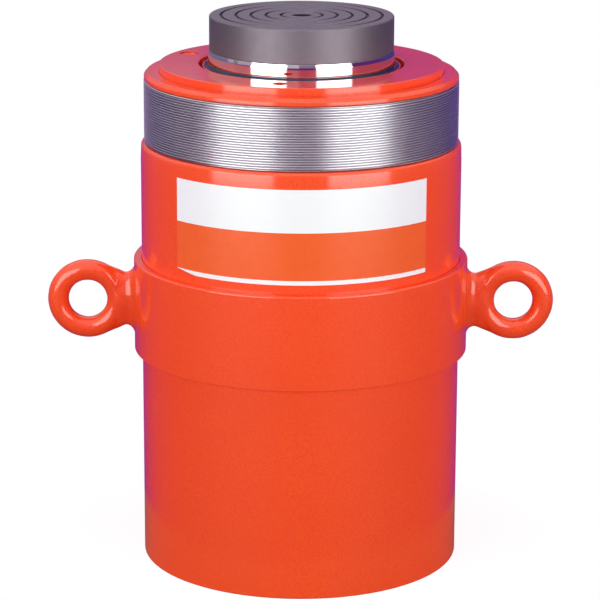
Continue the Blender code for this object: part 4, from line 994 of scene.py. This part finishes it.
def make_relief_valve():
    """The relief valve's plated cartridge with its hexagon, and the adjuster in its mouth."""
    place = radial(RELIEF_AZIMUTH, PORT_HEIGHTS["retract"], PORT_FACE)
    tip = -RELIEF_THREAD_LENGTH
    seat = tip + RELIEF_SEAT_LENGTH
    profile = [
        (RELIEF_ORIFICE_RADIUS, tip),
        (RELIEF_ORIFICE_RADIUS, seat),
        (RELIEF_BORE_RADIUS, seat),
        (RELIEF_BORE_RADIUS, RELIEF_HEX_LENGTH, 0.0005),
        (RELIEF_THREAD_RADIUS, RELIEF_HEX_LENGTH, 0.0003),
        (RELIEF_THREAD_RADIUS, tip, 0.0008),
    ]
    body = turned("plated_relief_valve", profile, SMALL_STEPS, ZINC)
    collar = hexagon("relief_hexagon", RELIEF_HEX_RADIUS, GAP, RELIEF_HEX_LENGTH - GAP)
    core_radius = (RELIEF_BORE_RADIUS + RELIEF_THREAD_RADIUS) / 2
    core = prism("relief_core", core_radius, -TOOL_REACH, RELIEF_HEX_LENGTH + TOOL_REACH)
    combine(collar, [core])
    combine(body, [collar], "UNION")
    body.data.transform(place)
    dressed(body, "cylinder", "coupler_steel", "relief_valve_body")

    top = RELIEF_HEX_LENGTH - RELIEF_ADJUSTER_SUNK
    radius = RELIEF_BORE_RADIUS - GAP
    profile = [
        (0.0, top),
        (radius, top, 0.0006),
        (radius, top - RELIEF_ADJUSTER_LENGTH),
        (0.0, top - RELIEF_ADJUSTER_LENGTH),
    ]
    adjuster = turned("steel_relief_adjuster", profile, SMALL_STEPS, MACHINED, closed=False)
    key = prism("adjuster_key", RELIEF_KEY_RADIUS, top - RELIEF_KEY_DEPTH, top + TOOL_REACH, 6)
    vent = prism("adjuster_vent", RELIEF_VENT_RADIUS, top - RELIEF_ADJUSTER_LENGTH - 0.01, top, 16)
    combine(adjuster, [key, vent])
    adjuster.data.transform(place)
    dressed(adjuster, "cylinder", "machined_steel", "relief_valve_adjuster")


# Label: edges by azimuth from the front, and heights of its strips from the top down
LABEL_LEFT = -48.2
LABEL_RIGHT = 49.0
LABEL_LIFT = 0.00025
LABEL_STEPS = 96
LABEL_TAPER_STEPS = 9
LABEL_TAPER_SHARE = 0.94
LABEL_HEIGHTS = (0.5305, 0.4762, 0.4160, 0.4105)


def indexed_face(shape, corners, index):
    """Adds a face and says which of the piece's materials it has."""
    shape.faces.new(corners).material_index = index


def curved_sheet(name, strips, material_of, left, right):
    """A thin curved sheet on the barrel's front, in horizontal strips."""
    shape = bmesh.new()
    inner = BODY_RADIUS + 0.00003
    outer = BODY_RADIUS + LABEL_LIFT
    rows = []
    for number, level in enumerate(strips):
        row = []
        for i in range(LABEL_STEPS + 1):
            taper = max(0.0, 1.0 - i / LABEL_TAPER_STEPS) if number == len(strips) - 1 else 0.0
            height = level + (strips[number - 1] - level) * taper * LABEL_TAPER_SHARE
            angle = math.radians(-90.0 + left + (right - left) * i / LABEL_STEPS)
            c, s = math.cos(angle), math.sin(angle)
            outside = shape.verts.new((outer * c, outer * s, height))
            inside = shape.verts.new((inner * c, inner * s, height))
            row.append((outside, inside))
        rows.append(row)
    for number, (upper, lower) in enumerate(zip(rows, rows[1:])):
        index = material_of[number]
        for i in range(LABEL_STEPS):
            for side in (0, 1):
                corners = (upper[i][side], upper[i + 1][side], lower[i + 1][side], lower[i][side])
                indexed_face(shape, corners, index)
        for i in (0, LABEL_STEPS):
            indexed_face(shape, (upper[i][0], upper[i][1], lower[i][1], lower[i][0]), index)
    for row, number in ((rows[0], 0), (rows[-1], -1)):
        for i in range(LABEL_STEPS):
            corners = (row[i][0], row[i + 1][0], row[i + 1][1], row[i][1])
            indexed_face(shape, corners, material_of[number])
    return finish_mesh(name, shape)


def make_label():
    """The bare label: a white strip, an orange panel and a thin white edge."""
    label = curved_sheet("bare_label", LABEL_HEIGHTS, (0, 1, 0), LABEL_LEFT, LABEL_RIGHT)
    label.data.materials.append(LABEL_WHITE)
    label.data.materials.append(LABEL_ORANGE)
    dressed(label, "cylinder", "label_film")


# Softboxes: azimuth from the camera's side, what they span and how they fade at the edges
SOFTBOX_AZIMUTH = 40.5
SOFTBOX_DISTANCE = 2.2
SOFTBOX_HEIGHTS = (0.15, 1.65)
SOFTBOX_WIDTH = 1.9
SOFTBOX_RADIANCE = 5.2
SOFTBOX_EDGE = 0.15
SOFTBOX_FADE_FROM = 0.42
SOFTBOX_FADE_RISE = 0.12
SIDE_BOX_AZIMUTH = -108.0
SIDE_BOX_HEIGHTS = (1.15, 2.3)
SIDE_BOX_RADIANCE = 0.7

# Lamps: place, size and brightness
KEY_DISTANCE = 2.2
KEY_HEIGHT = 0.62
KEY_SIZE = (1.9, 1.2)
KEY_RADIANCE = 4.15
FILL_AZIMUTH = 112.0
FILL_DISTANCE = 2.4
FILL_HEIGHT = 0.8
FILL_SIZE = (1.6, 1.4)
FILL_RADIANCE = 3.6
FILL_TINT = (1.0, 0.60, 0.95)
OVERHEAD_PLACE = (-0.15, -0.3, 2.4)
OVERHEAD_AIM = (0.0, 0.0, 0.6)
OVERHEAD_SIZE = (1.4, 1.4)
OVERHEAD_RADIANCE = 3.0

FLOOR_RADIUS = 0.34
FLOOR_WHITE = 0.87
SHELL_RADIUS = 8.0


def make_floor():
    """A pale round floor that keeps the object's shadow."""
    shape = bmesh.new()
    bmesh.ops.create_circle(shape, cap_ends=True, radius=FLOOR_RADIUS, segments=96)
    floor = finish_mesh("floor", shape)
    material = empty_material("pale_floor")
    tree = material.node_tree
    path = add_node(tree, "ShaderNodeLightPath")
    diffuse = add_node(tree, "ShaderNodeBsdfDiffuse", {"Color": (0.22, 0.22, 0.22, 1.0)})
    seen = computed(tree, "MULTIPLY", path.outputs["Is Camera Ray"], FLOOR_WHITE)
    glow = add_node(tree, "ShaderNodeEmission", {"Strength": seen})
    both = add_node(tree, "ShaderNodeAddShader", {0: diffuse.outputs[0], 1: glow.outputs[0]})
    add_node(tree, "ShaderNodeOutputMaterial", {"Surface": both.outputs[0]})
    material.cycles.emission_sampling = "NONE"
    floor.data.materials.append(material)


def make_world():
    """White for what the camera and the metal see, and a soft ambient light."""
    world = bpy.data.worlds.new("studio")
    bpy.context.scene.world = world
    world.use_nodes = True
    tree = world.node_tree
    tree.nodes.clear()
    path = add_node(tree, "ShaderNodeLightPath")
    seen = computed(tree, "MAXIMUM", path.outputs["Is Camera Ray"], path.outputs["Is Glossy Ray"])
    seen = computed(tree, "MAXIMUM", seen, path.outputs["Is Transmission Ray"])
    white = add_node(tree, "ShaderNodeBackground", {"Color": (1.0, 1.0, 1.0, 1.0), "Strength": 1.0})
    ambient = add_node(tree, "ShaderNodeBackground", {"Color": (0.95, 0.95, 1.0, 1.0), "Strength": 0.15})
    mix = add_node(
        tree,
        "ShaderNodeMixShader",
        {0: seen, 1: ambient.outputs[0], 2: white.outputs[0]},
    )
    add_node(tree, "ShaderNodeOutputWorld", {"Surface": mix.outputs[0]})


def only_reflected(item, sampling="NONE"):
    """Makes a stage piece that only reflections show."""
    item.visible_camera = False
    item.visible_diffuse = False
    item.visible_transmission = False
    item.visible_shadow = False
    for slot in item.material_slots:
        slot.material.cycles.emission_sampling = sampling


def make_shell():
    """The studio round the set, which only reflections see: dark in front, deep blue behind."""
    shape = bmesh.new()
    bmesh.ops.create_uvsphere(shape, u_segments=48, v_segments=24, radius=SHELL_RADIUS)
    shell = finish_mesh("studio_shell", shape)
    material = empty_material("studio_shell")
    tree = material.node_tree
    place = add_node(tree, "ShaderNodeSeparateXYZ", {0: object_position(tree)})
    near = ranged(tree, place.outputs["Y"], 0.0, 1.0, 1.5, 5.5)
    far = ranged(tree, place.outputs["Y"], 0.0, 1.0, 6.3, 7.8)
    side = mixed(tree, near, (0.12, 0.025, 0.15, 1.0), (0.075, 0.015, 0.22, 1.0))
    side = mixed(tree, far, side, (0.22, 0.03, 0.36, 1.0))
    rise = ranged(tree, place.outputs["Z"], 0.0, 1.0, -0.9, -0.2)
    leftwards = ranged(tree, place.outputs["X"], 1.2, 0.0, -5.0, -2.0)
    level = computed(tree, "SUBTRACT", place.outputs["Z"], leftwards)
    fall = ranged(tree, level, 1.0, 0.0, 1.2, 1.9)
    horizon = computed(tree, "MULTIPLY", rise, fall)
    across = ranged(tree, place.outputs["X"], 0.0, 1.0, -2.0, 3.0)
    skyline = mixed(tree, across, (0.17, 0.17, 0.29, 1.0), (0.05, 0.05, 0.25, 1.0))
    behind = ranged(tree, place.outputs["Y"], 0.0, 1.0, -2.5, 0.5)
    horizon = computed(tree, "MULTIPLY", horizon, behind)
    side = mixed(tree, horizon, side, skyline)
    high = ranged(tree, place.outputs["Z"], 0.0, 1.0, 1.99, 2.07)
    aside = ranged(tree, place.outputs["X"], 1.0, 0.0, -0.42, -0.36)
    patch = computed(tree, "MULTIPLY", high, aside)
    side = mixed(tree, patch, side, (0.46, 0.36, 0.46, 1.0))
    above = ranged(tree, place.outputs["Z"], 0.0, 1.0, 3.2, 6.0)
    colour = mixed(tree, above, side, (1.5, 1.4, 1.5, 1.0))
    glow = add_node(tree, "ShaderNodeEmission", {"Color": colour, "Strength": 1.0})
    add_node(tree, "ShaderNodeOutputMaterial", {"Surface": glow.outputs[0]})
    shell.data.materials.append(material)
    only_reflected(shell)


def area_light(name, place, aim, size, radiance, tint=(1.0, 1.0, 1.0)):
    """A soft light that only lights; its power follows from its radiance."""
    width, tall = size
    data = bpy.data.lights.new(name, "AREA")
    data.shape = "RECTANGLE"
    data.size = width
    data.size_y = tall
    data.energy = radiance * math.pi * width * tall
    data.color = tint
    light = bpy.data.objects.new(name, data)
    bpy.context.scene.collection.objects.link(light)
    light.location = place
    light.rotation_euler = (aim - place).to_track_quat("-Z", "Y").to_euler()
    light.visible_glossy = False


def softbox_face(name, azimuth, radiance, heights=SOFTBOX_HEIGHTS):
    """The bright face of a softbox, which only reflections see."""
    across = polar(SOFTBOX_WIDTH / 2, azimuth)
    middle = polar(SOFTBOX_DISTANCE, azimuth - 90.0)
    low, high = heights
    shape = bmesh.new()
    corners = []
    for side, level in ((-1, low), (1, low), (1, high), (-1, high)):
        corners.append(shape.verts.new(middle + side * across + Vector((0.0, 0.0, level))))
    shape.faces.new(corners)
    face = finish_mesh(name, shape)
    material = empty_material(name)
    tree = material.node_tree
    along = add_node(
        tree,
        "ShaderNodeVectorMath",
        {0: object_position(tree), 1: across.normalized()},
        operation="DOT_PRODUCT",
    ).outputs["Value"]
    outwards = computed(tree, "ABSOLUTE", along)
    fade = ranged(tree, outwards, 1.0, SOFTBOX_EDGE, SOFTBOX_WIDTH * SOFTBOX_FADE_FROM, SOFTBOX_WIDTH * 0.5)
    height = add_node(tree, "ShaderNodeSeparateXYZ", {0: object_position(tree)}).outputs["Z"]
    lower = ranged(tree, height, SOFTBOX_EDGE, 1.0, low, low + SOFTBOX_FADE_RISE)
    dim = computed(tree, "MULTIPLY", fade, lower)
    strength = computed(tree, "MULTIPLY", dim, radiance)
    glow = add_node(tree, "ShaderNodeEmission", {"Strength": strength})
    add_node(tree, "ShaderNodeOutputMaterial", {"Surface": glow.outputs[0]})
    face.data.materials.append(material)
    only_reflected(face, "FRONT_BACK")


def make_lights():
    """Two large softboxes beside the camera, soft fills at the sides and one overhead."""
    for name, side in (("left", -1), ("right", 1)):
        azimuth = side * SOFTBOX_AZIMUTH
        softbox_face(f"softbox_{name}", azimuth, SOFTBOX_RADIANCE)
        key = polar(KEY_DISTANCE, azimuth - 90.0, KEY_HEIGHT)
        area_light(f"key_{name}", key, Vector((0, 0, KEY_HEIGHT)), KEY_SIZE, KEY_RADIANCE)
        fill = polar(FILL_DISTANCE, side * FILL_AZIMUTH - 90.0, FILL_HEIGHT)
        area_light(f"fill_{name}", fill, Vector((0, 0, FILL_HEIGHT)), FILL_SIZE, FILL_RADIANCE, FILL_TINT)
    softbox_face("softbox_side", SIDE_BOX_AZIMUTH, SIDE_BOX_RADIANCE, SIDE_BOX_HEIGHTS)
    area_light("overhead", Vector(OVERHEAD_PLACE), Vector(OVERHEAD_AIM), OVERHEAD_SIZE, OVERHEAD_RADIANCE)


# Camera, fitted to the photograph's ellipses
CAMERA_DISTANCE = 3.5
CAMERA_HEIGHT = 1.268
CAMERA_PITCH = 14.89
CAMERA_YAW = 0.012
CAMERA_ROLL = 0.225
CAMERA_FOCAL_PIXELS = 2772.0
PHOTO_WIDTH = 600.0
SENSOR_WIDTH = 36.0


def make_camera():
    """The camera at the photograph's viewing angle."""
    data = bpy.data.cameras.new("camera")
    data.sensor_width = SENSOR_WIDTH
    data.lens = CAMERA_FOCAL_PIXELS / PHOTO_WIDTH * SENSOR_WIDTH
    data.clip_end = 100.0
    camera = bpy.data.objects.new("camera", data)
    bpy.context.scene.collection.objects.link(camera)
    turn = Matrix.Rotation(math.radians(CAMERA_YAW), 4, "Z")
    turn = turn @ Matrix.Rotation(math.radians(90.0 - CAMERA_PITCH), 4, "X")
    turn = turn @ Matrix.Rotation(math.radians(CAMERA_ROLL), 4, "Z")
    camera.matrix_world = Matrix.Translation((0.0, -CAMERA_DISTANCE, CAMERA_HEIGHT)) @ turn
    bpy.context.scene.camera = camera


dress_frame()
make_barrel()
make_thread()
make_band()
make_eye("right_painted_eye", 1, "right_lifting_eye")
make_eye("left_painted_eye", -1, "left_lifting_eye")
make_nut()
make_gland()
make_rod()
make_saddle()
make_specks()
make_coupler("advance")
make_coupler("retract")
make_relief_valve()
make_label()
make_floor()
make_world()
make_shell()
make_lights()
make_camera()
bpy.context.scene.view_settings.view_transform = "Standard"
